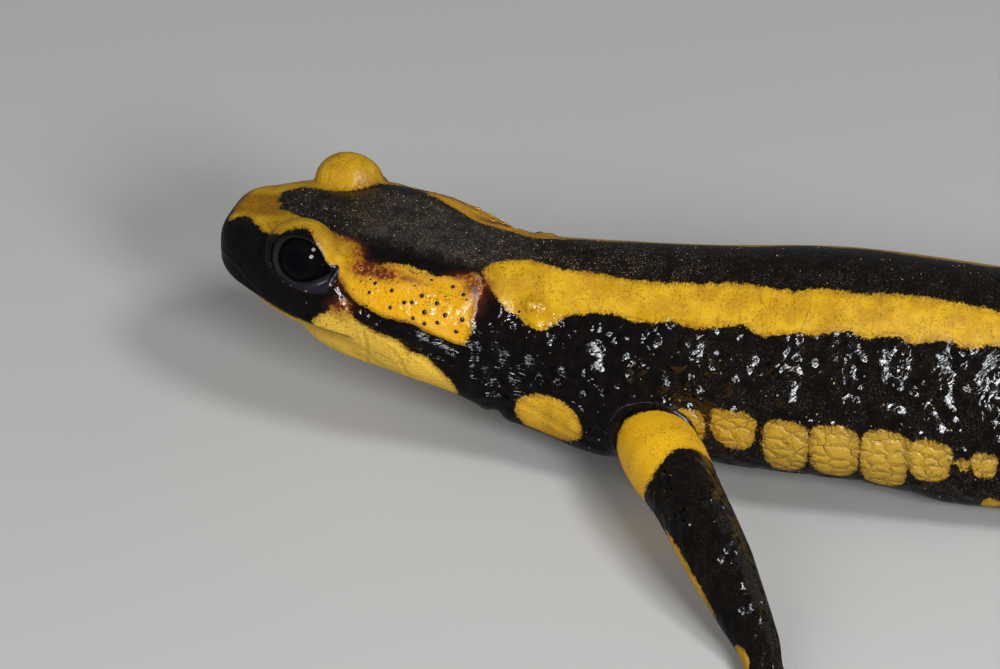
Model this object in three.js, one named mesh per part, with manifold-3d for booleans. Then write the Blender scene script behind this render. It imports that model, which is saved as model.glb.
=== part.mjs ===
// A fire salamander at life size, in millimetres. The head points to -X, the tail to +X and the animal's left side
// to -Y, with +Z up. The origin is in the middle of the flat on which the belly rests.
//
// The body is one loft along a curved spine. A place on it is told by its station, which is the distance from the
// snout along the spine, by its side offset, positive to the animal's left, and by its height over the ground.
import * as THREE from 'three';
import { mergeVertices } from 'three/addons/utils/BufferGeometryUtils.js';
import Module from 'manifold-3d';

// ---------------------------------------------------------------------------------------------- driving dimensions

const BODY_LENGTH = 180;
const REST_STATION = 62;
const GAP = 0.3;

// Each profile lists [station, value] pairs, and a smooth curve runs through them.
// The spine's heading is in degrees, and the tail swings gently to the animal's right.
const HEADING = [[0, -10.2], [18, -10.2], [28, -2.4], [37, -1.4], [50, -0.2], [60, -0.7], [76, -4.5], [100, -9],
  [125, -3], [150, 9], [180, 22]];
const HALF_WIDTH = [[0, 4.9], [3, 5.5], [8, 7.5], [12, 8.4], [17, 8.5], [21, 7.8], [27, 7.1], [33, 8.2], [39, 8.7],
  [51, 10.2], [62, 9.9], [75, 9.6], [87, 7.7], [94, 6.8], [100, 5.6], [111, 4.8], [130, 4.1], [150, 3.1], [180, 1.3]];
const BACK_HEIGHT = [[0, 18.9], [3, 17.4], [8, 17.9], [16, 18.1], [21, 17.3], [27, 17.7], [33, 17.9], [39, 18.2],
  [51, 18.8], [62, 18.2], [75, 17.1], [87, 14.9], [94, 13.4], [100, 11.7], [111, 10], [130, 8.4], [150, 6.3],
  [180, 2.6]];
const BELLY_HEIGHT = [[0, 11.5], [3, 10.5], [8, 9.4], [12, 9.1], [16, 7.4], [21, 5.7], [27, 2.7], [33, 1.4], [39, 2],
  [51, 1.9], [57, 0.8], [61, -0.3], [75, -0.3], [87, 0.2], [94, 0.5], [100, 0], [111, -0.2], [180, -0.2]];
const WIDEST_HEIGHT = [[0, 13.4], [8, 12.9], [16, 12.2], [21, 11.2], [27, 10], [33, 9], [39, 8.8], [51, 8.6],
  [62, 8.2], [75, 7.8], [94, 6.8], [100, 5.8], [130, 4], [150, 3], [180, 1.2]];

// How much narrower the section is over its widest height than under it.
const BACK_TAPER = [[0, -0.06], [8, -0.04], [16, 0.02], [27, 0.15], [39, 0.18], [62, 0.14], [87, 0.1], [100, 0.08],
  [180, 0.02]];

// How boxy the section is over and under its widest height: 2 is an ellipse.
const BACK_POWER = [[0, 3.8], [8, 3.2], [19, 2.7], [27, 2.1], [39, 2], [180, 2]];
const BELLY_POWER = [[0, 1.8], [8, 2.15], [12, 2.1], [21, 2.6], [29, 2.7], [39, 2.3], [51, 2.05], [111, 2.1],
  [180, 2]];

// The snout and the tail's tip close on a point at these heights, rounded over these lengths.
const SNOUT = { length: 6.2, power: 2.65, height: 13.4 };
const TAIL_TIP = { length: 9, power: 2.65, height: 1.2 };

// Swellings on both sides of the head: the lids over the eyes, the flesh round the eyeballs, the parotoid glands and
// the cheeks. Each is joined on softly over its blend. The right eye and its lids lie a little ahead of the left.
const EYE = { station: 9.1, right_ahead: 0.5, side: 5.75, height: 16.95, radius: 2.1 };
const LID = {
  station: 8.3, right_ahead: 0.5, side: 5.2, height: 16.85, along: 2.95, across: 2.85, up: 2.62, blend: 0.5,
};
const EYE_COVER = { ...EYE, along: 2.7, across: 2.65, up: 2.65, blend: 0.6 };
const PAROTOID = {
  station: 16.8, right_ahead: 0, side: 5.65, height: 13.4, along: 6.6, across: 2.77, up: 2.73, blend: 1,
};
const CHEEK = { station: 17.6, right_ahead: 0, side: 5, height: 10.2, along: 9, across: 2.6, up: 2.55, blend: 1.2 };
const SWELLINGS_END = 30;

// The round openings between the lids, which show the eyeballs, and the mouth.
const LID_OPENING = { station: 9, right_ahead: 0.5, side: 8.1, height: 17.4, radius: 2.1 };
const MOUTH = { height: 12, corner_station: 13.8 };

// The cuts that part the body, by the name of the length behind each.
const BODY_CUTS = [
  ['neck', 23.2],
  ['trunk_front', 32],
  ['trunk_middle', 51],
  ['trunk_rear', 75],
  ['tail_base', 98],
  ['tail_middle', 125],
  ['tail_tip', 153],
];

// The limbs' joints as [x, y, z], from inside the body outwards, and the heading of hand or foot in degrees.
const LIMBS = {
  arm_left: { root: [-27, -4.5, 5.5], elbow: [-21.7, -16.2, 6.6], wrist: [-14.6, -28.2, 1.7], heading: -75 },
  arm_right: { root: [-27, 4, 5.5], elbow: [-25, 14.4, 6.3], wrist: [-29, 20.2, 1.7], heading: 140 },
  leg_left: { root: [29, -5, 6], elbow: [21.5, -17.6, 7], wrist: [25.5, -26.6, 1.8], heading: -128 },
  leg_right: { root: [29, 1, 6], elbow: [33.5, 13.4, 6.8], wrist: [43.5, 19.6, 1.8], heading: 72 },
};

// Radii at even steps from the root to the wrist or ankle.
const ARM_RADII = [3.1, 3, 2.6, 2.5, 1.65];
const LEG_RADII = [3.4, 3.2, 2.9, 2.6, 1.75];
const WRIST_CUT = 1.2;

// The palm or sole is half of these across, and its digits fan out from near its middle.
const PALM = { length: 5.8, width: 4.6, thickness: 2.6, height: 1.1, from_wrist: 2.2 };
const DIGIT = {
  root_offset: 0.9, root_height: 1, knuckle: 0.55, tip_offset: 1.4, root_radius: 0.95, tip_radius: 0.7,
};
const FINGERS = [[-50, 4.2], [-17, 5.6], [16, 5.8], [50, 4.4]];
const TOES = [[-62, 4], [-31, 5.8], [0, 6.6], [28, 6.2], [58, 4.4]];
const SINK = 0.12;

// Facets round and along the pieces.
const BODY_SIDES = 28;
const LIMB_SIDES = 12;
const LIMB_STEPS = 10;
const DIGIT_SIDES = 6;
const DIGIT_STEPS = 3;
const BALL_SIDES = 12;
const BALL_RINGS = 8;
const PALM_SIDES = 10;

const COLORS = { black: 0x17130f, yellow: 0xd9a514, eye: 0x05060a };
const WET_ROUGHNESS = 0.3;
const EYE_ROUGHNESS = 0.08;

const UP = new THREE.Vector3(0, 0, 1);
const DOWN = new THREE.Vector3(0, 0, -1);

// -------------------------------------------------------------------------------------------------- smooth profiles

// The value at a station of a smooth curve through a profile's points, which never overshoots them.
function along(profile, station) {
  const last = profile.length - 1;
  if (station <= profile[0][0]) return profile[0][1];
  if (station >= profile[last][0]) return profile[last][1];
  const slope = (i) => (profile[i + 1][1] - profile[i][1]) / (profile[i + 1][0] - profile[i][0]);
  const tangent = (i) => {
    if (i === 0) return slope(0);
    if (i === last) return slope(last - 1);
    const before = slope(i - 1);
    const after = slope(i);
    return before * after <= 0 ? 0 : 2 * before * after / (before + after);
  };
  const i = profile.findIndex(([end]) => end > station) - 1;
  const step = profile[i + 1][0] - profile[i][0];
  const t = (station - profile[i][0]) / step;
  const t2 = t * t;
  const t3 = t2 * t;
  return (2 * t3 - 3 * t2 + 1) * profile[i][1] + (t3 - 2 * t2 + t) * step * tangent(i)
    + (3 * t2 - 2 * t3) * profile[i + 1][1] + (t3 - t2) * step * tangent(i + 1);
}

// -------------------------------------------------------------------------------------------------------- the spine

const SPINE_STEP = 0.5;

function layOutSpine() {
  const points = [];
  let x = 0;
  let y = 0;
  for (let station = 0; station <= BODY_LENGTH; station += SPINE_STEP) {
    const heading = THREE.MathUtils.degToRad(along(HEADING, station));
    points.push({ x, y, heading });
    x += SPINE_STEP * Math.cos(heading);
    y += SPINE_STEP * Math.sin(heading);
  }
  const rest = points[REST_STATION / SPINE_STEP];
  return points.map((point) => ({ x: point.x - rest.x, y: point.y - rest.y, heading: point.heading }));
}

const spine = layOutSpine();

function spineAt(station) {
  const place = THREE.MathUtils.clamp(station / SPINE_STEP, 0, spine.length - 1);
  const before = spine[Math.floor(place)];
  const after = spine[Math.ceil(place)];
  const t = place - Math.floor(place);
  const mix = (name) => before[name] + (after[name] - before[name]) * t;
  return { x: mix('x'), y: mix('y'), heading: mix('heading') };
}

function bodyPlace(station, side, height) {
  const { x, y, heading } = spineAt(station);
  return new THREE.Vector3(x + side * Math.sin(heading), y - side * Math.cos(heading), height);
}

function spineDirection(station) {
  const { heading } = spineAt(station);
  return new THREE.Vector3(Math.cos(heading), Math.sin(heading), 0);
}

// ---------------------------------------------------------------------------------------------------- the body loft

// 1 along the body, falling to 0 in a round end at the snout and at the tail's tip.
function endRounding(station) {
  const round = (end, distance) => {
    const inside = Math.max(0, 1 - distance / end.length);
    return (1 - inside ** end.power) ** (1 / end.power);
  };
  return round(SNOUT, station) * round(TAIL_TIP, BODY_LENGTH - station);
}

// The station of a feature on one side of the head, with sign 1 for the left and -1 for the right.
function stationOf(feature, sign) {
  return feature.station - (sign < 0 ? feature.right_ahead : 0);
}

// How far a place lies outside a swelling, about in millimetres.
function outside(swelling, sign, station, side, height) {
  const radii = [swelling.along, swelling.across, swelling.up];
  const offsets = [station - stationOf(swelling, sign), side - sign * swelling.side, height - swelling.height];
  const near = Math.hypot(...offsets.map((offset, i) => offset / radii[i]));
  const steep = Math.hypot(...offsets.map((offset, i) => offset / radii[i] ** 2));
  return steep > 0 ? near * (near - 1) / steep : -Math.min(...radii);
}

function softMinimum(a, b, blend) {
  const near = Math.max(blend - Math.abs(a - b), 0) / blend;
  return Math.min(a, b) - near * near * blend / 4;
}

// The distance from the section's centre to the skin, with the head's swellings joined on.
function reachWithSwellings(station, centre, reach, sideways, upwards) {
  const field = (distance) => {
    let value = distance - reach;
    for (const swelling of [LID, EYE_COVER, PAROTOID, CHEEK]) {
      for (const sign of [-1, 1]) {
        const gap = outside(swelling, sign, station, distance * sideways, centre + distance * upwards);
        value = softMinimum(value, gap, swelling.blend);
      }
    }
    return value;
  };
  const HALVINGS = 24;
  let inner = reach * 0.7;
  let outer = reach + 2 * LID.up;
  for (let i = 0; i < HALVINGS; i += 1) {
    const middle = (inner + outer) / 2;
    if (field(middle) > 0) outer = middle;
    else inner = middle;
  }
  return inner;
}

// A point of the skin, raised by extra: turn 0 is the middle of the back, and turns grow to the animal's left.
function skinPoint(station, turn, extra) {
  const round = endRounding(station);
  const widest = along(WIDEST_HEIGHT, station);
  const end = station < BODY_LENGTH / 2 ? SNOUT : TAIL_TIP;
  const centre = widest * round + end.height * (1 - round);
  const isBack = Math.cos(turn) > 0;
  const power = along(isBack ? BACK_POWER : BELLY_POWER, station);
  const scale = (Math.abs(Math.sin(turn)) ** power + Math.abs(Math.cos(turn)) ** power) ** (-1 / power);
  const rise = isBack ? along(BACK_HEIGHT, station) - widest : widest - along(BELLY_HEIGHT, station);
  const taper = 1 - along(BACK_TAPER, station) * Math.cos(turn) * scale;
  const side = along(HALF_WIDTH, station) * round * scale * Math.sin(turn) * taper;
  const height = rise * round * scale * Math.cos(turn);
  const plain = Math.hypot(side, height);
  const sideways = side / plain;
  const upwards = height / plain;
  const hasSwellings = station < SWELLINGS_END;
  const reach = hasSwellings ? reachWithSwellings(station, centre, plain, sideways, upwards) : plain;
  return bodyPlace(station, (reach + extra) * sideways, centre + (reach + extra) * upwards);
}

// A closed tube of triangles from rings of equal size, closed at each end on one point.
function closedTube(rings, firstPoint, lastPoint) {
  const sides = rings[0].length;
  const points = [firstPoint, ...rings.flat(), lastPoint];
  const last = points.length - 1;
  const index = [];
  for (let j = 0; j < sides; j += 1) {
    const next = (j + 1) % sides;
    index.push(0, 1 + next, 1 + j);
    for (let i = 0; i < rings.length - 1; i += 1) {
      const here = 1 + i * sides;
      const there = here + sides;
      index.push(here + j, here + next, there + j, here + next, there + next, there + j);
    }
    const end = 1 + (rings.length - 1) * sides;
    index.push(last, end + j, end + next);
  }
  const geometry = new THREE.BufferGeometry();
  geometry.setAttribute('position', new THREE.Float32BufferAttribute(points.flatMap((p) => p.toArray()), 3));
  geometry.setIndex(index);
  return geometry;
}

// Stations of the rings: close together on the snout and the head, wider on the trunk and the tail.
function ringStations() {
  const ROUND_SNOUT = { end: 4, rings: 6 };
  const SPACING = [[24, 1.5], [39, 2.5], [103, 4.9], [BODY_LENGTH - TAIL_TIP.length, 7.5]];
  const TIP_RINGS = 4;
  const stations = [];
  for (let i = 1; i <= ROUND_SNOUT.rings; i += 1) {
    stations.push(ROUND_SNOUT.end * (1 - Math.cos(i / ROUND_SNOUT.rings * Math.PI / 2)));
  }
  for (const [end, step] of SPACING) {
    const start = stations[stations.length - 1];
    const count = Math.round((end - start) / step);
    for (let i = 1; i <= count; i += 1) stations.push(start + (end - start) * i / count);
  }
  for (let i = 1; i <= TIP_RINGS; i += 1) {
    stations.push(BODY_LENGTH - TAIL_TIP.length * (1 - Math.sin(i / (TIP_RINGS + 1) * Math.PI / 2)));
  }
  return stations;
}

function bodyGeometry(extra) {
  const rings = ringStations().map((station) => Array.from({ length: BODY_SIDES }, (_, j) => (
    skinPoint(station, 2 * Math.PI * j / BODY_SIDES, extra))));
  const snout = bodyPlace(0, 0, SNOUT.height).addScaledVector(spineDirection(0), -extra);
  const tip = bodyPlace(BODY_LENGTH, 0, TAIL_TIP.height).addScaledVector(spineDirection(BODY_LENGTH), extra);
  return closedTube(rings, snout, tip);
}

// ---------------------------------------------------------------------------------------------- joining and cutting

const wasm = await Module();
wasm.setup();

function solid(geometry) {
  const bare = geometry.clone();
  bare.deleteAttribute('normal');
  bare.deleteAttribute('uv');
  const merged = mergeVertices(bare, 1e-5);
  return new wasm.Manifold(new wasm.Mesh({
    numProp: 3,
    vertProperties: new Float32Array(merged.attributes.position.array),
    triVerts: new Uint32Array(merged.index.array),
  }));
}

function geometryOf(body) {
  const mesh = body.getMesh();
  const geometry = new THREE.BufferGeometry();
  geometry.setAttribute('position', new THREE.BufferAttribute(new Float32Array(mesh.vertProperties), 3));
  geometry.setIndex(new THREE.BufferAttribute(new Uint32Array(mesh.triVerts), 1));
  return geometry;
}

// A block far larger than the animal, which starts at a point and lies all on the side of the direction.
function beyond(point, direction) {
  const SIZE = 500;
  const block = new THREE.BoxGeometry(SIZE, SIZE, SIZE);
  block.translate(SIZE / 2, 0, 0);
  block.applyQuaternion(new THREE.Quaternion().setFromUnitVectors(new THREE.Vector3(1, 0, 0), direction));
  block.translate(point.x, point.y, point.z);
  return solid(block);
}

// The lengths of a solid between planes, each parted from the next by the gap.
function partAlong(whole, planes) {
  const pieces = [];
  let rest = whole;
  for (const { point, direction } of planes) {
    const half = direction.clone().multiplyScalar(GAP / 2);
    pieces.push(rest.subtract(beyond(point.clone().sub(half), direction)));
    rest = rest.intersect(beyond(point.clone().add(half), direction));
  }
  return [...pieces, rest];
}

const group = new THREE.Group();
const ground = beyond(new THREE.Vector3(), DOWN);

function addPiece(name, body, color, roughness) {
  const mesh = new THREE.Mesh(
    geometryOf(body),
    new THREE.MeshStandardMaterial({ color, roughness, metalness: 0 }),
  );
  mesh.name = name;
  group.add(mesh);
}

// --------------------------------------------------------------------------------------------------- head and trunk

function ballSolid(ball, sign, extra) {
  const sphere = new THREE.SphereGeometry(ball.radius + extra, BALL_SIDES, BALL_RINGS);
  sphere.rotateX(-Math.PI / 2);
  sphere.translate(...bodyPlace(stationOf(ball, sign), sign * ball.side, ball.height));
  return solid(sphere);
}

function addBody() {
  const planes = BODY_CUTS.map(([, station]) => ({
    point: bodyPlace(station, 0, 0),
    direction: spineDirection(station),
  }));
  const [wholeHead, ...lengths] = partAlong(solid(bodyGeometry(0)).subtract(ground), planes);
  const head = [1, -1].reduce((rest, sign) => (
    rest.subtract(ballSolid(EYE, sign, GAP)).subtract(ballSolid(LID_OPENING, sign, 0))), wholeHead);

  // The lower jaw lies under the mouth and ends behind its corners.
  const jawSpace = (margin) => beyond(new THREE.Vector3(0, 0, MOUTH.height + margin), DOWN)
    .intersect(beyond(bodyPlace(MOUTH.corner_station + margin, 0, 0), spineDirection(0).negate()));
  addPiece('head', head.subtract(jawSpace(GAP / 2)), COLORS.black, WET_ROUGHNESS);
  addPiece('lower_jaw', head.intersect(jawSpace(-GAP / 2)), COLORS.black, WET_ROUGHNESS);
  addPiece('eye_left', ballSolid(EYE, 1, 0), COLORS.eye, EYE_ROUGHNESS);
  addPiece('eye_right', ballSolid(EYE, -1, 0), COLORS.eye, EYE_ROUGHNESS);
  BODY_CUTS.forEach(([name], i) => addPiece(name, lengths[i], COLORS.black, WET_ROUGHNESS));
}

// ------------------------------------------------------------------------------------------------- limbs and digits

// A tube along its joints, with its radius at even steps, closed on a blunt end.
function limbTube(joints, radii, sides, steps) {
  const BLUNT_END = 0.55;
  const END_SHARPNESS = 16;
  const OVERSHOOT = 0.3;
  const curve = new THREE.CatmullRomCurve3(joints, false, 'centripetal');
  const radiusAt = (t) => {
    const place = t * (radii.length - 1);
    const i = Math.min(Math.floor(place), radii.length - 2);
    return radii[i] + (radii[i + 1] - radii[i]) * (place - i);
  };
  const rings = [];
  for (let i = 0; i <= steps; i += 1) {
    const t = i / steps;
    const centre = curve.getPoint(t);
    const tangent = curve.getTangent(t);
    const across = tangent.clone().cross(UP).normalize();
    const upwards = across.clone().cross(tangent);
    const fullness = Math.sqrt(Math.max(0, 1 - (2 * t - 1) ** END_SHARPNESS));
    const radius = radiusAt(t) * Math.max(fullness, BLUNT_END);
    rings.push(Array.from({ length: sides }, (_, j) => {
      const turn = 2 * Math.PI * j / sides;
      return centre.clone()
        .addScaledVector(across, radius * Math.sin(turn))
        .addScaledVector(upwards, radius * Math.cos(turn));
    }));
  }
  const first = curve.getPoint(0).addScaledVector(curve.getTangent(0), -OVERSHOOT * radii[0]);
  const last = curve.getPoint(1).addScaledVector(curve.getTangent(1), OVERSHOOT * radii[radii.length - 1]);
  return solid(closedTube(rings, first, last));
}

// The palm or sole, with its digits spread out in front of it.
function handSolid(wrist, heading, digits) {
  const ahead = (from, distance, turn, height) => new THREE.Vector3(
    from.x + distance * Math.cos(turn),
    from.y + distance * Math.sin(turn),
    height,
  );
  const centre = ahead(wrist, PALM.from_wrist, heading, PALM.height);
  const palm = new THREE.SphereGeometry(0.5, PALM_SIDES, Math.round(PALM_SIDES / 2));
  palm.rotateX(Math.PI / 2);
  palm.scale(PALM.length, PALM.width, PALM.thickness);
  palm.rotateZ(heading);
  palm.translate(...centre);
  const radii = [DIGIT.root_radius, (DIGIT.root_radius + DIGIT.tip_radius) / 2, DIGIT.tip_radius];
  return digits.reduce((hand, [spread, length]) => {
    const turn = heading + THREE.MathUtils.degToRad(spread);
    const root = ahead(centre, DIGIT.root_offset, turn, DIGIT.root_height);
    const knuckle = ahead(centre, DIGIT.root_offset + length * DIGIT.knuckle, turn, DIGIT.root_radius - SINK);
    const tip = ahead(centre, DIGIT.tip_offset + length, turn, DIGIT.tip_radius - SINK);
    return hand.add(limbTube([root, knuckle, tip], radii, DIGIT_SIDES, DIGIT_STEPS));
  }, solid(palm));
}

function addLimbs() {
  const aroundBody = solid(bodyGeometry(GAP));
  const kinds = [
    { kind: 'arm', names: ['upper_arm', 'forearm', 'hand'], radii: ARM_RADII, digits: FINGERS },
    { kind: 'leg', names: ['thigh', 'shank', 'foot'], radii: LEG_RADII, digits: TOES },
  ];
  for (const { kind, names, radii, digits } of kinds) {
    for (const [side, sign] of [['left', 1], ['right', -1]]) {
      const limb = LIMBS[`${kind}_${side}`];
      const [root, elbow, wrist] = [limb.root, limb.elbow, limb.wrist].map((p) => new THREE.Vector3(...p));
      const heading = THREE.MathUtils.degToRad(limb.heading);
      const hand = handSolid(wrist, heading, digits.map(([spread, length]) => [sign * spread, length]));
      const tube = limbTube([root, elbow, wrist], radii, LIMB_SIDES, LIMB_STEPS);
      const upper = elbow.clone().sub(root).normalize();
      const lower = wrist.clone().sub(elbow).normalize();
      const [first, second, third] = partAlong(tube, [
        { point: elbow, direction: upper.clone().add(lower).normalize() },
        { point: wrist.clone().addScaledVector(lower, -WRIST_CUT), direction: lower },
      ]);
      addPiece(`${names[0]}_${side}`, first.subtract(aroundBody), COLORS.yellow, WET_ROUGHNESS);
      addPiece(`${names[1]}_${side}`, second, COLORS.black, WET_ROUGHNESS);
      addPiece(`${names[2]}_${side}`, third.add(hand).subtract(ground), COLORS.black, WET_ROUGHNESS);
    }
  }
}

addBody();
addLimbs();

export default group;
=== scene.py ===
import math

import bpy
import numpy as np
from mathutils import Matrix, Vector, noise


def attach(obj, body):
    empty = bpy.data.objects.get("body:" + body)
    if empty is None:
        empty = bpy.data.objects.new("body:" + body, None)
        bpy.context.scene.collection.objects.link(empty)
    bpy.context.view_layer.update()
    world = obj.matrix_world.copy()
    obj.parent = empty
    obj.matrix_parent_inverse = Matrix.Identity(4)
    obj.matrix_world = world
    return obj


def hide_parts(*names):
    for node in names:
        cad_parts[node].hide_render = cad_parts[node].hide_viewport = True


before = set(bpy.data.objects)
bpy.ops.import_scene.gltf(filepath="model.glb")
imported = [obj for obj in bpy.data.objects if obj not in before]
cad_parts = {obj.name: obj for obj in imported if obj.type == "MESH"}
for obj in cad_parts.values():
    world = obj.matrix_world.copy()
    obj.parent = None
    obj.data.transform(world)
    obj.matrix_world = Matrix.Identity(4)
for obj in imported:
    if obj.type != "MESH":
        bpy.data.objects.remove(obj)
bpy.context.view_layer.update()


# ---------------------------------------------------------------- the set
# A plain pale table top under the animal, two small bright lamps on the camera's right, three large soft
# fills and a dim room. The camera looks at the animal's left side from above, close to the head.

TABLE_SIDE = 1.6
TABLE_TOP = -0.00005
TABLE_COLOUR, TABLE_ROUGHNESS = (0.56, 0.55, 0.53, 1), 0.7
ROOM_COLOUR, ROOM_STRENGTH = (0.75, 0.78, 0.82, 1), 0.09
AZIMUTH = math.radians(8.5)
ELEVATION = math.radians(33)
CAMERA_DISTANCE = 0.430
FRAME_CENTRE_RIGHT = -0.03824
FRAME_CENTRE_UP = 0.0110
FOCAL_LENGTH = 193.5
LAMP_TINT = (0.94, 0.97, 1.0)
LAMPS = {  # from the middle of the picture to the right, up and back, then width and power
    "upper_lamp": (0.19, 0.19, 0.35, 0.105, 0.73),
    "side_lamp": (0.155, -0.02, 0.41, 0.115, 1.22),
    "front_fill": (-0.14, -0.10, 0.40, 0.30, 0.42),
    "left_fill": (-0.42, 0.20, 0.30, 0.5, 0.85),
    "right_fill": (0.50, 0.35, 0.10, 0.5, 0.13),
}
NOT_MIRRORED = ("front_fill", "left_fill")

sin_a, cos_a, sin_e, cos_e = (f(angle) for angle in (AZIMUTH, ELEVATION) for f in (math.sin, math.cos))
view_right = Vector((cos_a, sin_a, 0))
view_up = Vector((-sin_a * sin_e, cos_a * sin_e, cos_e))
view_back = Vector((sin_a * cos_e, -cos_a * cos_e, sin_e))
aim = view_right * FRAME_CENTRE_RIGHT + view_up * FRAME_CENTRE_UP


def put_in_scene(thing):
    bpy.context.scene.collection.objects.link(thing)
    return thing


camera_data = bpy.data.cameras.new("camera")
camera_data.sensor_width = 36
camera_data.lens = FOCAL_LENGTH
camera_data.clip_start = 0.01
camera_data.clip_end = 10
camera = put_in_scene(bpy.data.objects.new("camera", camera_data))
camera.rotation_mode = "QUATERNION"
camera.location = aim + view_back * CAMERA_DISTANCE
camera.rotation_quaternion = (-view_back).to_track_quat("-Z", "Y")
bpy.context.scene.camera = camera
bpy.context.scene.view_settings.view_transform = "Standard"


for name, (right, up, back, size, power) in LAMPS.items():
    data = bpy.data.lights.new(name, "AREA")
    data.shape = "DISK"
    data.size = size
    data.energy = power
    data.color = LAMP_TINT if name.endswith("lamp") else (1, 1, 1)
    lamp = put_in_scene(bpy.data.objects.new(name, data))
    lamp.location = aim + view_right * right + view_up * up + view_back * back
    lamp.rotation_mode = "QUATERNION"
    lamp.rotation_quaternion = (aim - lamp.location).to_track_quat("-Z", "Y")
    lamp.visible_glossy = name not in NOT_MIRRORED

room = bpy.data.worlds.new("room")
room.use_nodes = True
room.node_tree.nodes["Background"].inputs["Color"].default_value = ROOM_COLOUR
room.node_tree.nodes["Background"].inputs["Strength"].default_value = ROOM_STRENGTH
bpy.context.scene.world = room

table_mesh = bpy.data.meshes.new("table_top")
half = TABLE_SIDE / 2
table_corners = [(x * half, y * half, TABLE_TOP) for x, y in ((-1, -1), (1, -1), (1, 1), (-1, 1))]
table_mesh.from_pydata(table_corners, [], [(0, 1, 2, 3)])
table_top = put_in_scene(bpy.data.objects.new("table_top", table_mesh))
table_finish = bpy.data.materials.new("table_finish")
table_finish.use_nodes = True
table_finish.node_tree.nodes["Principled BSDF"].inputs["Base Color"].default_value = TABLE_COLOUR
table_finish.node_tree.nodes["Principled BSDF"].inputs["Roughness"].default_value = TABLE_ROUGHNESS
table_mesh.materials.append(table_finish)
table_top.visible_glossy = False


# ---------------------------------------------------------------- skin: the body's measures
# The skin is one moulded covering over head, trunk, tail and limbs, drawn in millimetres like the frame
# under it. A place on the body is told by its station along the spine from the snout, its side offset,
# positive to the animal's left, and its height over the table.

MM = 0.001
BODY_LENGTH = 180
REST_STATION = 62
SPINE_STEP = 0.5
HEADING = [[0, -10.2], [18, -10.2], [28, -2.4], [37, -1.4], [50, -0.2], [60, -0.7], [76, -4.5],
           [100, -9], [125, -3], [150, 9], [180, 22]]
HALF_WIDTH = [[0, 4.9], [3, 5.5], [8, 7.5], [12, 8.4], [17, 8.5], [21, 7.8], [27, 7.1], [33, 8.2], [39, 8.7],
              [51, 10.2], [62, 9.9], [75, 9.6], [87, 7.7], [94, 6.8], [100, 5.6], [111, 4.8], [130, 4.1],
              [150, 3.1], [180, 1.3]]
BACK_HEIGHT = [[0, 18.9], [3, 17.4], [8, 17.9], [16, 18.1], [21, 17.3], [27, 17.7], [33, 17.9], [39, 18.2],
               [51, 18.8], [62, 18.2], [75, 17.1], [87, 14.9], [94, 13.4], [100, 11.7], [111, 10], [130, 8.4],
               [150, 6.3], [180, 2.6]]
BELLY_HEIGHT = [[0, 11.5], [3, 10.5], [8, 9.4], [12, 9.1], [16, 7.4], [21, 5.7], [27, 2.7], [33, 1.4],
                [39, 2], [51, 1.9], [57, 0.8], [61, -0.3], [75, -0.3], [87, 0.2], [94, 0.5], [100, 0],
                [111, -0.2], [180, -0.2]]
WIDEST_HEIGHT = [[0, 13.4], [8, 12.9], [16, 12.2], [21, 11.2], [27, 10], [33, 9], [39, 8.8], [51, 8.6],
                 [62, 8.2], [75, 7.8], [94, 6.8], [100, 5.8], [130, 4], [150, 3], [180, 1.2]]
BACK_TAPER = [[0, -0.06], [8, -0.04], [16, 0.02], [27, 0.15], [39, 0.18], [62, 0.14], [87, 0.1], [100, 0.08],
              [180, 0.02]]
BACK_POWER = [[0, 3.8], [8, 3.2], [19, 2.7], [27, 2.1], [39, 2], [180, 2]]
BELLY_POWER = [[0, 1.8], [8, 2.15], [12, 2.1], [21, 2.6], [29, 2.7], [39, 2.3], [51, 2.05], [111, 2.1],
               [180, 2]]
SNOUT_LENGTH, SNOUT_HEIGHT = 6.2, 13.4
TAIL_TIP_LENGTH, TAIL_TIP_HEIGHT = 9, 1.2
END_POWER = 2.65


def smooth(t):
    """0 below 0, 1 over 1 and an even ease in between."""
    t = np.clip(t, 0, 1)
    return t * t * (3 - 2 * t)


def fade_in(value, start, width):
    return smooth((value - start) / width)


def fade_out(value, start, width):
    return 1 - smooth((value - start) / width)


def bridge(start, start_way, end, end_way, t):
    """A soft curve that leaves one value or point and reaches another at given rates."""
    return ((2 * t**3 - 3 * t**2 + 1) * start + (t**3 - 2 * t**2 + t) * start_way
            + (3 * t**2 - 2 * t**3) * end + (t**3 - t**2) * end_way)


def along(profile, station):
    """The value at a station of a smooth curve through a profile's points, which never overshoots them."""
    places, values = np.array(profile, float).T
    slopes = np.diff(values) / np.diff(places)
    before, after = slopes[:-1], slopes[1:]
    same_way = before * after > 0
    inner = np.where(same_way, 2 * before * after / np.where(same_way, before + after, 1), 0)
    tangents = np.concatenate([slopes[:1], inner, slopes[-1:]])
    s = np.clip(station, places[0], places[-1])
    i = np.clip(np.searchsorted(places, s, side="right") - 1, 0, len(places) - 2)
    step = places[i + 1] - places[i]
    t = (s - places[i]) / step
    return bridge(values[i], step * tangents[i], values[i + 1], step * tangents[i + 1], t)


spine_stations = np.arange(0, BODY_LENGTH + SPINE_STEP, SPINE_STEP)
spine_heading = np.radians(along(HEADING, spine_stations))
spine_x, spine_y = (np.concatenate([[0], np.cumsum(SPINE_STEP * way(spine_heading))[:-1]])
                    for way in (np.cos, np.sin))
rest_index = int(REST_STATION / SPINE_STEP)
spine_x, spine_y = spine_x - spine_x[rest_index], spine_y - spine_y[rest_index]


def spine_at(station):
    """x, y and heading of the spine; the head's straight line is carried on in front of the snout."""
    ahead = np.minimum(station, 0)
    x, y, heading = (np.interp(station, spine_stations, line) for line in (spine_x, spine_y, spine_heading))
    return x + ahead * math.cos(spine_heading[0]), y + ahead * math.sin(spine_heading[0]), heading


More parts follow.
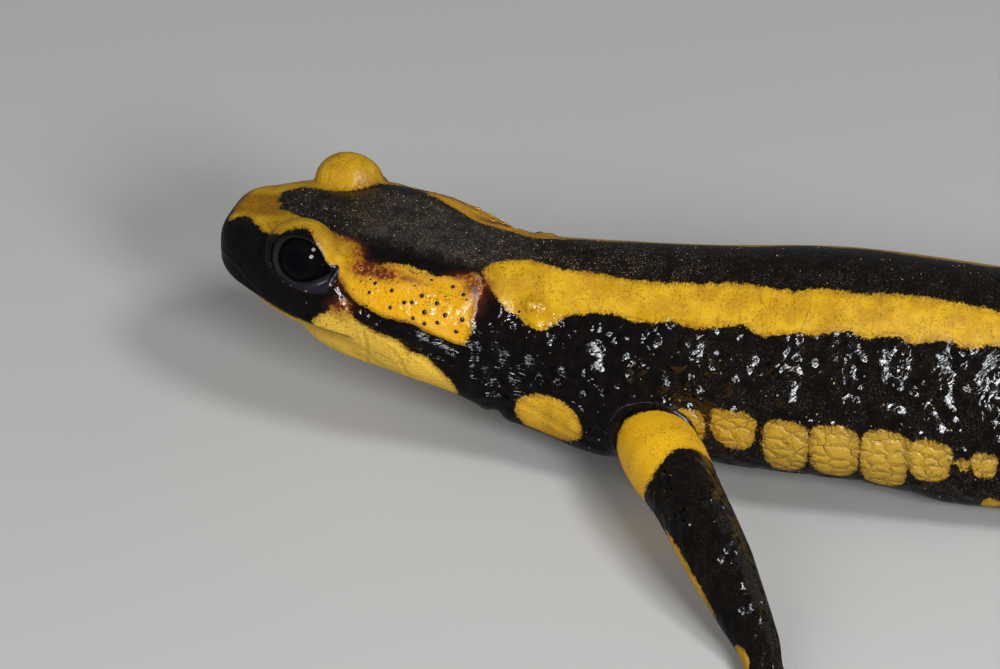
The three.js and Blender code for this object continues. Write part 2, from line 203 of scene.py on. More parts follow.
def body_place(station, side, height):
    x, y, heading = spine_at(station)
    return np.stack([x + side * np.sin(heading), y - side * np.cos(heading), height + 0 * x], -1)


def body_coordinates(points):
    """Station, side offset and height of points anywhere on or near the body."""
    x, y = points[..., 0], points[..., 1]
    station = np.clip(x + REST_STATION, -2, BODY_LENGTH)
    for _ in range(5):
        sx, sy, heading = spine_at(station)
        station = np.clip(station + (x - sx) * np.cos(heading) + (y - sy) * np.sin(heading), -2, BODY_LENGTH)
    sx, sy, heading = spine_at(station)
    return station, (x - sx) * np.sin(heading) - (y - sy) * np.cos(heading), points[..., 2]


def end_rounding(station):
    def round_end(length, distance):
        inside = np.clip(1 - distance / length, 0, 1)
        return (1 - inside**END_POWER) ** (1 / END_POWER)
    return round_end(SNOUT_LENGTH, station) * round_end(TAIL_TIP_LENGTH, BODY_LENGTH - station)


def section_centre(station):
    rounding = end_rounding(station)
    end_height = np.where(station < BODY_LENGTH / 2, SNOUT_HEIGHT, TAIL_TIP_HEIGHT)
    return along(WIDEST_HEIGHT, station) * rounding + end_height * (1 - rounding)


def section_reach(station, turn):
    """From the section's centre to the plain body along a turn, 0 on the back and growing to the left."""
    rounding = end_rounding(station)
    widest = along(WIDEST_HEIGHT, station)
    width = along(HALF_WIDTH, station)
    over = np.cos(turn) > 0
    rise = np.where(over, along(BACK_HEIGHT, station) - widest, widest - along(BELLY_HEIGHT, station))
    power = np.where(over, along(BACK_POWER, station), along(BELLY_POWER, station))
    taper_amount = along(BACK_TAPER, station)
    taper, parameter = 1.0, turn
    for _ in range(5):
        parameter = np.arctan2(np.sin(turn) * rise, np.cos(turn) * width * taper)
        scale = (np.abs(np.sin(parameter)) ** power + np.abs(np.cos(parameter)) ** power) ** (-1 / power)
        taper = 1 - taper_amount * np.cos(parameter) * scale
    return rounding * scale * np.hypot(width * np.sin(parameter) * taper, rise * np.cos(parameter))


# ---------------------------------------------------------------- skin: the head's modelling
# The head is the plain body with lids, parotoid glands and cheeks swelling out of it on both sides. They
# are joined softly as flesh is, the lids with a tighter crease than the glands.

EYE = {"station": 9.1, "right_ahead": 0.5, "side": 5.75, "height": 16.95, "radius": 2.3}
LID = {"station": 8.3, "right_ahead": 0.5, "side": 5.2, "height": 16.85, "along": 2.95, "across": 2.85,
       "up": 2.62, "blend": 0.5,
       "on_right": {"station": 8.6, "side": 5.7, "along": 2.55, "across": 2.4, "up": 2.42}}
EYE_COVER = {**EYE, "along": 2.6, "across": 2.55, "up": 2.55, "blend": 0.6, "on_right": {"up": 2.42}}
PAROTOID = {"station": 16.8, "right_ahead": 0, "side": 5.65, "height": 13.4, "along": 6.6, "across": 2.77,
            "up": 2.73, "blend": 1.0}
CHEEK = {"station": 17.6, "right_ahead": 0, "side": 5, "height": 10.2, "along": 9, "across": 2.6,
         "up": 2.55, "blend": 1.2}
SWELLINGS_END = 30
LIP_LINE = [[0, 12.35], [4.5, 12.35], [7, 12.2], [9.5, 11.95], [13.8, 11.65], [16, 11.6]]
RAY_LEAST, RAY_MOST = 0.5, 14


def soft_minimum(a, b, blend):
    near = np.maximum(blend - np.abs(a - b), 0) / blend
    return np.minimum(a, b) - near * near * blend / 4


def outside_plain(station, side, height):
    """How far a place lies outside the plain body."""
    centre = section_centre(station)
    turn = np.arctan2(side, height - centre)
    value = np.hypot(side, height - centre) - section_reach(station, turn)
    return np.where(station < 0, np.hypot(value, station), value)


def middle_of(swelling, sign):
    """Station, side offset and height of a swelling's middle on the left, 1, or the right, -1."""
    station = swelling["station"] - swelling["right_ahead"] * (sign < 0)
    return np.array([station, sign * swelling["side"], swelling["height"]])


def outside_swelling(swelling, sign, station, side, height):
    swelling = {**swelling, **swelling.get("on_right", {})} if sign < 0 else swelling
    offsets = [place - m for place, m in zip((station, side, height), middle_of(swelling, sign))]
    radii = [swelling["along"], swelling["across"], swelling["up"]]
    near = np.sqrt(sum((o / r) ** 2 for o, r in zip(offsets, radii)))
    steep = np.sqrt(sum((o / r**2) ** 2 for o, r in zip(offsets, radii)))
    return near * (near - 1) / np.maximum(steep, 1e-6)


def outside_head(station, side, height):
    value = outside_plain(station, side, height)
    for swelling in (LID, EYE_COVER, PAROTOID, CHEEK):
        for sign in (-1, 1):
            bulge = outside_swelling(swelling, sign, station, side, height)
            value = soft_minimum(value, bulge, swelling["blend"])
    return value


def cast_out(origin, direction, reach_least=RAY_LEAST, reach_most=RAY_MOST):
    """Where rays from inside the head come through its skin, as station, side and height."""
    inner = np.full(direction[0].shape, float(reach_least))
    outer = np.full(direction[0].shape, float(reach_most))
    for _ in range(20):
        middle = (inner + outer) / 2
        out = outside_head(*(o + middle * d for o, d in zip(origin, direction))) > 0
        outer = np.where(out, middle, outer)
        inner = np.where(out, inner, middle)
    return [o + inner * d for o, d in zip(origin, direction)]


# ---------------------------------------------------------------- skin: the body's net
# The skin of head, trunk and tail is a net of rows across the spine and columns along it. On the head the
# columns fan out from the front of the mouth, so that one of them follows the lips. Openings are left for
# eyes and limbs.

COLUMNS = 160
LIP_COLUMN = 54
LIP_TURN_HEAD, LIP_TURN_TRUNK = 90, 125
FAN_STATION = 4.5
FAN_ROWS = 32
ROW_SPACING = [[24, 0.145], [34, 0.27], [100, 0.40]]
TAIL_SPACING = [[128, 0.6], [BODY_LENGTH - TAIL_TIP_LENGTH, 0.85]]
TAIL_TIP_ROWS = 12


def net_centre(station):
    """Height of the line that the net's turns are measured about: the lips' height on the head."""
    share = fade_in(station, 13, 17)
    return along(LIP_LINE, station) * (1 - share) + section_centre(station) * share


def column_turns(station):
    """The turn of every column at stations, as an array of one row for each station."""
    trunk = fade_in(station, 14, 16)[:, None]
    crowding = 0.6 * fade_out(station, 13, 4)[:, None]
    gaps = np.arange(COLUMNS // 2) + 0.5
    width = 1 - crowding * np.exp(-(((gaps - LIP_COLUMN) / 3.5) ** 2))
    lip_turn = np.radians(LIP_TURN_HEAD * (1 - trunk) + LIP_TURN_TRUNK * trunk)
    over, under = width[:, :LIP_COLUMN], width[:, LIP_COLUMN:]
    over = over / over.sum(1, keepdims=True) * lip_turn
    under = under / under.sum(1, keepdims=True) * (math.pi - lip_turn)
    left = np.cumsum(np.concatenate([0 * lip_turn, over, under], 1), 1)
    return np.concatenate([left, -left[:, -2:0:-1]], 1)


def skin_place(station, turn):
    """Side offset and height of the skin along a turn about the net's centre, behind the fan."""
    side, height = np.empty_like(turn), np.empty_like(turn)
    head = station < SWELLINGS_END
    if head.any():
        s, t = station[head], turn[head]
        _, side[head], height[head] = cast_out([s, 0 * s, net_centre(s)], [0 * s, np.sin(t), np.cos(t)])
    s, t = station[~head], turn[~head]
    reach = section_reach(s, t)
    side[~head], height[~head] = reach * np.sin(t), section_centre(s) + reach * np.cos(t)
    return side, height


def spaced(start, spacing):
    """Stations from start on, as far apart as a list of [end, step] says."""
    stations = [start]
    for end, step in spacing:
        count = round((end - stations[-1]) / step)
        stations += list(np.linspace(stations[-1], end, count + 1)[1:])
    return stations


front_rows = np.array(spaced(FAN_STATION, ROW_SPACING))
tail_tip_turns = np.arange(1, TAIL_TIP_ROWS) / TAIL_TIP_ROWS * math.pi / 2
tail_end = BODY_LENGTH - TAIL_TIP_LENGTH * (1 - np.sin(tail_tip_turns))
tail_rows = np.array(spaced(front_rows[-1], TAIL_SPACING)[1:] + list(tail_end))

# Limbs: their joints from inside the body outwards, and the heading of hand or foot.
LIMBS = {
    "arm_left": {"root": [-27, -4.5, 5.5], "elbow": [-21.7, -16.2, 6.6], "wrist": [-14.6, -28.2, 1.7],
                 "heading": -75},
    "arm_right": {"root": [-27, 4, 5.5], "elbow": [-25, 14.4, 6.3], "wrist": [-29, 20.2, 1.7],
                  "heading": 140},
    "leg_left": {"root": [29, -5, 6], "elbow": [21.5, -17.6, 7], "wrist": [25.5, -26.6, 1.8],
                 "heading": -128},
    "leg_right": {"root": [29, 1, 6], "elbow": [33.5, 13.4, 6.8], "wrist": [43.5, 19.6, 1.8],
                  "heading": 72},
}
ARM_OPENING = {"cells": [16, 16], "radius": 3.7}
LEG_OPENING = {"cells": [18, 17], "radius": 4.1}
OPENING_SPREAD = 5.0


def wrap(angle):
    """An angle brought between minus and plus half a turn."""
    return np.angle(np.exp(1j * angle))


def unit(vectors):
    return vectors / np.linalg.norm(vectors, axis=-1, keepdims=True)


def limb_line(limb, t):
    """A point and a direction on a limb's line, from 0 at the root to 1 at the wrist."""
    a, b, c = (np.array(limb[name], float) for name in ("root", "elbow", "wrist"))
    points = np.array([2 * a - b, a, b, c, 2 * c - b])
    i = np.clip(np.floor(t * 2).astype(int), 0, 1)
    w = (t * 2 - i)[..., None]
    p0, p1, p2, p3 = (points[i + k] for k in range(4))
    s0, s1, s2 = p1 - p0, p2 - p1, p3 - p2
    d0, d1, d2 = (np.linalg.norm(s, axis=-1, keepdims=True) ** 0.5 for s in (s0, s1, s2))
    m1 = (s0 / d0 - (p2 - p0) / (d0 + d1) + s1 / d1) * d1
    m2 = (s1 / d1 - (p3 - p1) / (d1 + d2) + s2 / d2) * d1
    way = (6 * w - 6 * w**2) * s1 + (3 * w**2 - 4 * w + 1) * m1 + (3 * w**2 - 2 * w) * m2
    return bridge(p1, m1, p2, m2, w), unit(way)


def limb_exit(limb):
    """The share of a limb's line at which it comes through the skin, and that place's station and turn."""
    t = np.linspace(0, 0.5, 400)
    station, side, height = body_coordinates(limb_line(limb, t)[0])
    first = int(np.argmax(outside_plain(station, side, height) > 0))
    turn = math.atan2(side[first], height[first] - section_centre(station[first]))
    return t[first], station[first], turn


turns = column_turns(front_rows)
stations = np.repeat(front_rows[:, None], COLUMNS, 1)

# Around each limb the net is drawn aside, until a square of its cells becomes a round opening.
openings = {}
for name, limb in LIMBS.items():
    opening = ARM_OPENING if name.startswith("arm") else LEG_OPENING
    share, exit_station, exit_turn = limb_exit(limb)
    reach = float(section_reach(np.array([exit_station]), np.array([exit_turn]))[0])
    middle_row = int(np.argmin(np.abs(front_rows - exit_station)))
    middle_column = int(np.argmin(np.abs(wrap(turns[middle_row] - exit_turn))))
    row0 = middle_row - opening["cells"][0] // 2
    column0 = middle_column - opening["cells"][1] // 2
    row1, column1 = row0 + opening["cells"][0], column0 + opening["cells"][1]
    openings[name] = {"rows": (row0, row1), "columns": (column0, column1), "share": share}
    rows_mid = (front_rows[row0] + front_rows[row1]) / 2
    turn0, turn1 = turns[middle_row, column0], turns[middle_row, column1 % COLUMNS]
    turn_mid = (turn0 + turn1) / 2 if turn0 * turn1 > 0 else turn0
    half_row = (front_rows[row1] - front_rows[row0]) / 2
    half_turn = abs(turn1 - turn0) / 2 * reach
    dx = stations - rows_mid
    dy = wrap(turns - turn_mid) * reach
    q = np.maximum(np.abs(dx) / half_row, np.abs(dy) / half_turn)
    e = np.hypot(dx, dy)
    pull = 1 - smooth((q - 1) * half_row / OPENING_SPREAD)
    wanted = opening["radius"] + (q - 1) * half_row
    scale = np.where(e > 1e-6, (e * (1 - pull) + wanted * pull) / np.maximum(e, 1e-6), 1)
    active = (pull > 0) & (q > 0.5)
    stations = np.where(active, rows_mid + dx * scale, stations)
    turns = np.where(active, turn_mid + dy * scale / reach, turns)

fan_angles = np.arange(1, FAN_ROWS) / FAN_ROWS * math.pi / 2
fan_turns = column_turns(np.full(1, FAN_STATION))[0]
fan_cos, fan_sin = np.cos(fan_angles)[:, None], np.sin(fan_angles)[:, None]
fan_middle = [FAN_STATION, 0, LIP_LINE[0][1]]
fan = cast_out(fan_middle, [-fan_cos + 0 * fan_turns, fan_sin * np.sin(fan_turns),
                            fan_sin * np.cos(fan_turns)])
pole = cast_out(fan_middle, [np.array([-1.0]), np.zeros(1), np.zeros(1)])
side, height = skin_place(stations.ravel(), turns.ravel())
tail_stations = np.repeat(tail_rows[:, None], COLUMNS // 2, 1)
tail_turns = np.repeat(column_turns(np.full(1, 100.0))[:, ::2], len(tail_rows), 0)
tail_side, tail_height = skin_place(tail_stations.ravel(), tail_turns.ravel())


class Surface:
    """Collects a surface's points and faces while its parts are joined on."""

    def __init__(self):
        self.points, self.faces = np.empty((0, 3)), []

    def add(self, places):
        """Adds points and gives their numbers, in the same arrangement."""
        places = np.asarray(places, float)
        start = len(self.points)
        self.points = np.concatenate([self.points, places.reshape(-1, 3)])
        return np.arange(start, len(self.points)).reshape(places.shape[:-1])

    def join_rows(self, rows):
        """Faces between following closed rows of points, each left-handed about the outward side."""
        rows = np.concatenate([rows, rows[:, :1]], 1)
        a, b = rows[:-1], rows[1:]
        self.faces.append(np.stack([a[:, :-1], a[:, 1:], b[:, 1:], b[:, :-1]], -1).reshape(-1, 4))

    def close_on(self, row, point):
        self.faces.append(np.stack([row, np.roll(row, -1), np.full(len(row), point)], -1))


skin = Surface()
pole_number = skin.add(body_place(*pole))[0]
fan_numbers = skin.add(body_place(*fan))
net_numbers = skin.add(body_place(stations.ravel(), side, height).reshape(*stations.shape, 3))
tail_places = body_place(tail_stations.ravel(), tail_side, tail_height)
tail_numbers = skin.add(tail_places.reshape(*tail_stations.shape, 3))
tip_place = body_place(np.array([BODY_LENGTH]), np.zeros(1), np.array([TAIL_TIP_HEIGHT]))
tip_number = skin.add(tip_place)[0]

skin.close_on(fan_numbers[0][::-1], pole_number)
skin.join_rows(np.concatenate([fan_numbers, net_numbers[:1]]))

# Eyelids: the opening in the net, and the lids' edge seen from the eyeball's middle.
EYE_AXIS = unit(np.array([-0.05, 0.93, 0.28]))
LID_EDGE = {"half_long": 56, "half_high": 50, "tilt": 10, "corner": 20, "corner_turn": -161,
            "corner_width": 18}
EYE_OPENING = {"ahead": 2.5, "behind": 3.3, "half_turn": 18}
eye_turn = math.degrees(math.atan2(EYE["side"] + 1.6, EYE["height"] + 0.6 - LIP_LINE[2][1]))
eye_columns = [int(np.argmin(np.abs(np.degrees(turns[30]) - eye_turn - d))) for d in
               (-EYE_OPENING["half_turn"], EYE_OPENING["half_turn"])]
eye_rows = [int(np.argmin(np.abs(front_rows - EYE["station"] - d))) for d in
            (-EYE_OPENING["ahead"], EYE_OPENING["behind"])]
openings["eye_left"] = {"rows": tuple(eye_rows), "columns": tuple(eye_columns)}
rows_ahead = round(EYE["right_ahead"] / ROW_SPACING[0][1])
openings["eye_right"] = {"rows": tuple(r - rows_ahead for r in eye_rows),
                         "columns": (COLUMNS - eye_columns[1], COLUMNS - eye_columns[0])}

whole = np.ones((len(front_rows) - 1, COLUMNS), bool)
for opening in openings.values():
    (r0, r1), (c0, c1) = opening["rows"], opening["columns"]
    whole[r0:r1, c0:c1] = False
net = np.concatenate([net_numbers, net_numbers[:, :1]], 1)
net_cells = np.stack([net[:-1, :-1], net[:-1, 1:], net[1:, 1:], net[1:, :-1]], -1)
skin.faces.append(net_cells[whole])

# The tail has half as many columns: two cells in front meet one behind.
last = net[-1]
first = np.concatenate([tail_numbers[0], tail_numbers[0][:1]])
skin.faces.append(np.stack([last[:-1:2], last[1::2], first[:-1]], -1))
skin.faces.append(np.stack([last[1::2], last[2::2], first[1:], first[:-1]], -1))
skin.join_rows(tail_numbers)
skin.close_on(tail_numbers[-1], tip_number)


def opening_edge(name):
    """The points round an opening, running left-handed about the outward side, as row and column numbers."""
    (r0, r1), (c0, c1) = openings[name]["rows"], openings[name]["columns"]
    path = [(r, c1) for r in range(r0, r1)] + [(r1, c) for c in range(c1, c0, -1)]
    path += [(r, c0) for r in range(r1, r0, -1)] + [(r0, c) for c in range(c0, c1)]
    rows, columns = np.array(path).T
    return rows, columns % COLUMNS


# ---------------------------------------------------------------- skin: the eyelids
# The lids ring each eyeball and roll over its edge. Behind the edge the skin lines the socket and closes
# behind the ball, with a hair's breadth between them.

LID_RINGS = 9
LIP_RINGS = 5
SOCKET_RINGS = 9
SOCKET_GAP = 0.03
LID_MARGIN = math.radians(9)
LID_EASE, LIP_ROLL = 1.25, 1.25
eye_ring_numbers, eye_ring_turns = {}, {}


def eye_frame(sign):
    axis = EYE_AXIS * [1, sign, 1]
    ahead = np.array([-1.0, 0, 0])
    ahead = unit(ahead - axis * (ahead @ axis))
    up = np.cross(ahead, axis) * sign
    return axis, ahead, up * np.sign(up[2])


def lid_edge_angle(ring_turn):
    """How far the lids' edge is from the eye's axis, seen from the ball; a turn of 0 is ahead, 90 is up."""
    tilted = ring_turn - math.radians(LID_EDGE["tilt"])
    angle = 1 / np.hypot(np.cos(tilted) / LID_EDGE["half_long"], np.sin(tilted) / LID_EDGE["half_high"])
    from_corner = wrap(ring_turn - math.radians(LID_EDGE["corner_turn"]))
    corner = np.exp(-(from_corner / math.radians(LID_EDGE["corner_width"])) ** 2)
    return np.radians(angle + LID_EDGE["corner"] * corner)


def spokes(angle, across, up):
    """Unit vectors at angles from one direction towards another."""
    return np.cos(angle)[:, None] * across + np.sin(angle)[:, None] * up


for name, sign in (("eye_left", 1), ("eye_right", -1)):
    rows, columns = opening_edge(name)
    edge_station, edge_turn = stations[rows, columns], turns[rows, columns]
    axis, ahead, up = eye_frame(sign)
    ball = middle_of(EYE, sign)
    edge_side, edge_height = skin_place(edge_station, edge_turn)
    from_ball = np.stack([edge_station, edge_side, edge_height], -1) - ball
    ring_turn = np.unwrap(np.arctan2(from_ball @ up, from_ball @ ahead))
    ring_spokes = spokes(ring_turn, ahead, up)
    edge_angle = lid_edge_angle(ring_turn)
    edge_rays = spokes(edge_angle + LID_MARGIN, axis, ring_spokes)
    outer = cast_out(ball, list(edge_rays.T), EYE["radius"] * 0.9, 3.0)
    margin_turn = np.arctan2(outer[1], outer[2] - net_centre(outer[0]))
    rings = [net_numbers[rows, columns]]
    for k in range(1, LID_RINGS + 1):
        w = 1 - (1 - k / LID_RINGS) ** LID_EASE
        s = edge_station * (1 - w) + outer[0] * w
        rings.append(skin.add(body_place(s, *skin_place(s, edge_turn * (1 - w) + margin_turn * w))))
    margin_reach = np.linalg.norm(np.stack(outer, -1) - ball, axis=1)
    inner_reach = EYE["radius"] + SOCKET_GAP
    for k in range(1, LIP_RINGS + 1):
        t = k / LIP_RINGS
        angle = edge_angle + LID_MARGIN * (1 - math.sin(t * math.pi * 0.75) * LIP_ROLL)
        reach = inner_reach + (margin_reach - inner_reach) * math.cos(t * math.pi / 2)
        rings.append(skin.add(body_place(*(ball + spokes(angle, axis, ring_spokes) * reach[:, None]).T)))
    for k in range(1, SOCKET_RINGS):
        w = k / SOCKET_RINGS
        lining = spokes(angle * (1 - w) + math.pi * w, axis, ring_spokes) * inner_reach
        rings.append(skin.add(body_place(*(ball + lining).T)))
    back = skin.add(body_place(*(ball - axis * inner_reach)[:, None]))[0]
    skin.join_rows(np.array(rings))
    skin.close_on(rings[-1], back)
    eye_ring_numbers[name], eye_ring_turns[name] = np.array(rings), ring_turn


# ---------------------------------------------------------------- skin: the limbs
# Each limb grows out of its round opening, bends at elbow or knee, flattens into a palm or sole and
# divides into its digits: four on the hands, five on the feet. All are one surface with the body.

ARM_RADII = [3.7, 3.4, 2.85, 2.6, 1.7]
LEG_RADII = [3.4, 3.2, 2.9, 2.6, 1.75]
ROOT_RINGS, LIMB_RINGS, PALM_RINGS, DIGIT_RINGS = 9, 44, 11, 13
ROOT_LIFT = 2.3
ROOT_LEAVES, ROOT_ARRIVES = 0.75, 0.9
PALM = {"from_wrist": 2.2, "reach": 1.75, "middle": 0.95, "half_thick": 0.45, "way": 1.6}
KNUCKLES = {"reach": 0.45, "half_thick": 0.4, "edge": 12}
DIGIT = {"root": 2.3, "tip": 1.4, "root_radius": 0.95, "tip_radius": 0.7, "flat": 0.92, "knuckle": 0.10}
FINGERS = [[-50, 4.2], [-17, 5.6], [16, 5.8], [50, 4.4]]
TOES = [[-62, 4], [-31, 5.8], [0, 6.6], [28, 6.2], [58, 4.4]]
UP, LEVEL = np.array([0, 0, 1.0]), np.array([1, 1, 0])
limb_numbers, limb_places = {}, {}


def flat_way(degrees):
    return np.array([math.cos(math.radians(degrees)), math.sin(math.radians(degrees)), 0])


for name, limb in LIMBS.items():
    is_arm = name.startswith("arm")
    sign = 1 if name.endswith("left") else -1
    radii = ARM_RADII if is_arm else LEG_RADII
    digits = [[sign * spread, length] for spread, length in (FINGERS if is_arm else TOES)]
    digits.sort(key=lambda digit: -digit[0])
    rows, columns = opening_edge(name)
    edge_numbers = net_numbers[rows, columns]
    edge = skin.points[edge_numbers]
    count = len(rows)
    length_scale = sum(np.linalg.norm(np.subtract(limb[a], limb[b]))
                       for a, b in (("root", "elbow"), ("elbow", "wrist")))

    # The root: a smooth flare from the body's skin to the limb.
    exit_point = limb_line(limb, np.array([openings[name]["share"]]))[0][0]
    shares = np.linspace(openings[name]["share"] + ROOT_LIFT / length_scale, 1, LIMB_RINGS)
    centres, ways = limb_line(limb, shares)
    across = unit(np.cross(UP, ways))
    up = np.cross(ways, across)
    radius = np.interp(shares, np.linspace(0, 1, len(radii)), radii)
    edge_angle = np.unwrap(np.arctan2((edge - exit_point) @ up[0], (edge - exit_point) @ across[0]))
    start = int(np.argmin(np.abs(wrap(edge_angle))))
    edge, edge_angle, edge_numbers = (np.roll(v, -start, 0) for v in (edge, edge_angle, edge_numbers))
    edge_angle = np.unwrap(edge_angle)
    edge_angle -= 2 * math.pi * round(edge_angle[0] / (2 * math.pi))
    even_angle = np.arange(count) / count * 2 * math.pi
    settle = smooth(np.arange(LIMB_RINGS) / (LIMB_RINGS * 0.5))[:, None]
    ring_angles = edge_angle * (1 - settle) + even_angle * settle
    limb_rings = [centres[k] + radius[k] * spokes(ring_angles[k], across[k], up[k])
                  for k in range(LIMB_RINGS)]
    body_normal = unit(np.cross(np.roll(edge, -1, 0) - np.roll(edge, 1, 0), exit_point - edge))
    inward = exit_point - edge
    inward = unit(inward - body_normal * (inward * body_normal).sum(1, keepdims=True))
    gap = np.linalg.norm(limb_rings[0] - edge, axis=1, keepdims=True)
    rings = [edge_numbers]
    for k in range(1, ROOT_RINGS):
        flare = bridge(edge, inward * gap * ROOT_LEAVES, limb_rings[0], ways[0] * gap * ROOT_ARRIVES,
                       k / ROOT_RINGS)
        rings.append(skin.add(flare))
    rings += [skin.add(ring) for ring in limb_rings]

    # The palm or sole: the round wrist widens to an arc of knuckles.
    on_floor = np.array(limb["wrist"], float) * LEVEL + flat_way(limb["heading"]) * PALM["from_wrist"]
    over = even_angle <= math.pi
    top_share = np.where(over, even_angle / math.pi, 2 - even_angle / math.pi)
    widest_spread = max(abs(digit[0]) for digit in digits) + KNUCKLES["edge"]
    knuckle_wave = 0.5 - 0.5 * np.cos(top_share * len(digits) * 2 * math.pi)
    arc_angle = np.radians(limb["heading"] + widest_spread * (1 - 2 * top_share))
    arc_reach = PALM["reach"] + KNUCKLES["reach"] * knuckle_wave
    half_thick = PALM["half_thick"] + KNUCKLES["half_thick"] * knuckle_wave
    half_thick = half_thick * np.minimum(1, 3 * np.minimum(top_share, 1 - top_share) + 0.35)
    arc_height = PALM["middle"] + np.where(over, 1, -1) * (np.sin(even_angle) != 0) * half_thick
    arc_offset = np.stack([arc_reach * np.cos(arc_angle), arc_reach * np.sin(arc_angle), arc_height], -1)
    arc = on_floor + arc_offset
    spoke_way = unit((arc - on_floor) * LEVEL)
    for k in range(1, PALM_RINGS + 1):
        palm = bridge(limb_rings[-1], ways[-1] * PALM["way"], arc, spoke_way * PALM["way"], k / PALM_RINGS)
        rings.append(skin.add(palm))
    rings = np.array(rings)
    skin.join_rows(rings)
    limb_numbers[name] = rings

    # Where its points lie: millimetres along the limb, degrees round it from the tail's side over the top.
    middles = skin.points[rings].mean(1)
    ring_along = np.concatenate([[0], np.cumsum(np.linalg.norm(np.diff(middles, axis=0), axis=1))])
    ring_around = np.degrees([edge_angle] * ROOT_RINGS + list(ring_angles) + [even_angle] * PALM_RINGS)
    ring_around = ring_around if sign > 0 else 180 - ring_around
    limb_places[name] = [[rings, np.repeat(ring_along[:, None], count, 1), ring_around % 360]]

    # The digits: each starts from its share of the arc, the outer ones with the arc's ends.
    per_digit = count // 2 // len(digits)
    for k, (spread, length) in enumerate(digits):
        first_top, last_top = k * per_digit, (k + 1) * per_digit
        top = list(range(first_top, last_top + 1))
        bottom = [(count - i) % count for i in range(last_top, first_top - 1, -1)]
        loop = top + [i for i in bottom if i not in top]
        numbers = np.arange(len(loop))
        shift = 0 if k == 0 else 0.5
        if k == len(digits) - 1:
            numbers, shift = numbers - per_digit, len(loop) / 2
        angle = (numbers + shift) / len(loop) * 2 * math.pi
        way = flat_way(limb["heading"] + spread)
        root = on_floor + way * DIGIT["root"] + UP * (DIGIT["root_radius"] - 0.02)
        tip = on_floor + way * (DIGIT["tip"] + length) + UP * (DIGIT["tip_radius"] - 0.08)
        base = skin.points[rings[-1][loop]]
        digit_rings = [rings[-1][loop]]
        for t in np.arange(1, DIGIT_RINGS + 1) / DIGIT_RINGS:
            end_round = math.sqrt(max(0, 1 - max(0, (t - 0.80) / 0.21) ** 2))
            thick = (DIGIT["root_radius"] * (1 - t) + DIGIT["tip_radius"] * t) * end_round
            thick *= 1 + DIGIT["knuckle"] * math.sin(t * 9.5 + 0.6) * (1 - t)
            circle = spokes(angle, np.cross(UP, way), DIGIT["flat"] * UP)
            blend_in = smooth(t / 0.3)
            lifted = base + way * (t * np.linalg.norm(tip - root))
            place = root * (1 - t) + tip * t + thick * circle
            digit_rings.append(skin.add(lifted * (1 - blend_in) + place * blend_in))
        tip_point = skin.add((tip + way * 0.06)[None])[0]
        digit_rings = np.array(digit_rings)
        skin.join_rows(digit_rings)
        skin.close_on(digit_rings[-1], tip_point)
        digit_along = ring_along[-1] + np.arange(1, DIGIT_RINGS + 1) / DIGIT_RINGS * length
        digit_around = np.degrees(angle) if sign > 0 else 180 - np.degrees(angle)
        limb_places[name].append([digit_rings[1:], np.repeat(digit_along[:, None], len(loop), 1),
                                  np.repeat(digit_around[None], DIGIT_RINGS, 0) % 360])
        limb_places[name].append([tip_point, digit_along[-1], 90])


# ---------------------------------------------------------------- skin: one mesh and its smoothing
# Body, lids, limbs and digits are one closed net now. Round the limbs' roots and on the palms it is worked
# over until the skin runs on softly.

ROOT_MARGIN, ROOT_AFTER, PALM_BEFORE = 4, 5, 4
ROOT_EASING, PALM_EASING = (0.5, 26), (0.45, 14)
triangles = np.concatenate([f if f.shape[1] == 3 else np.concatenate([f[:, [0, 1, 2]], f[:, [0, 2, 3]]])
                            for f in skin.faces])
quads = np.concatenate([f for f in skin.faces if f.shape[1] == 4])
ties = np.concatenate([quads[:, [i, (i + 1) % 4]] for i in range(4)])
tied = np.bincount(ties[:, 0], minlength=len(skin.points)).astype(float)


def eased(points, numbers, share, rounds):
    """Points of which some are moved towards the middle of their neighbours, by a share at a time."""
    shares = np.zeros(len(points))
    shares[numbers] = share
    shares = (shares * (tied > 0))[:, None]
    for _ in range(rounds):
        middle = [np.bincount(ties[:, 0], points[ties[:, 1], i], len(points)) for i in range(3)]
        points = points + (np.stack(middle, -1) / np.maximum(tied, 1)[:, None] - points) * shares
    return points


root_numbers = []
for name, rings in limb_numbers.items():
    (row0, row1), (column0, column1) = openings[name]["rows"], openings[name]["columns"]
    margin = net_numbers[row0 - ROOT_MARGIN:row1 + ROOT_MARGIN + 1]
    margin_columns = np.arange(column0 - ROOT_MARGIN, column1 + ROOT_MARGIN + 1) % COLUMNS
    root_numbers += [margin[:, margin_columns].ravel(), rings[:ROOT_RINGS + ROOT_AFTER].ravel()]
palm_numbers = np.concatenate([r[-PALM_RINGS - PALM_BEFORE:].ravel() for r in limb_numbers.values()])
points = eased(skin.points, np.concatenate(root_numbers), *ROOT_EASING)
points = eased(points, palm_numbers, *PALM_EASING)
points[:, 2] = np.maximum(points[:, 2], 0)


# ---------------------------------------------------------------- skin: where every point lies
# Every point of the skin is told by its station and its turn round the body, or by its way along a limb
# and round it, so that folds and markings are laid out as they lie on the animal.

GIRTH, LIMB_GIRTH = 0.14, 0.045  # millimetres to a degree round the body and round a limb
LINE_REACH = 2.5
limb_of = np.full(len(points), "", object)
limb_along, limb_around = np.zeros(len(points)), np.zeros(len(points))
for name, places in limb_places.items():
    for numbers, along_limb, around_limb in places:
        limb_of[numbers] = name
        limb_along[numbers], limb_around[numbers] = along_limb, around_limb
    limb_of[limb_numbers[name][0]] = ""
on_body = limb_of == ""
station, side, height = body_coordinates(points)
turn = np.degrees(np.arctan2(side, height - net_centre(station)))


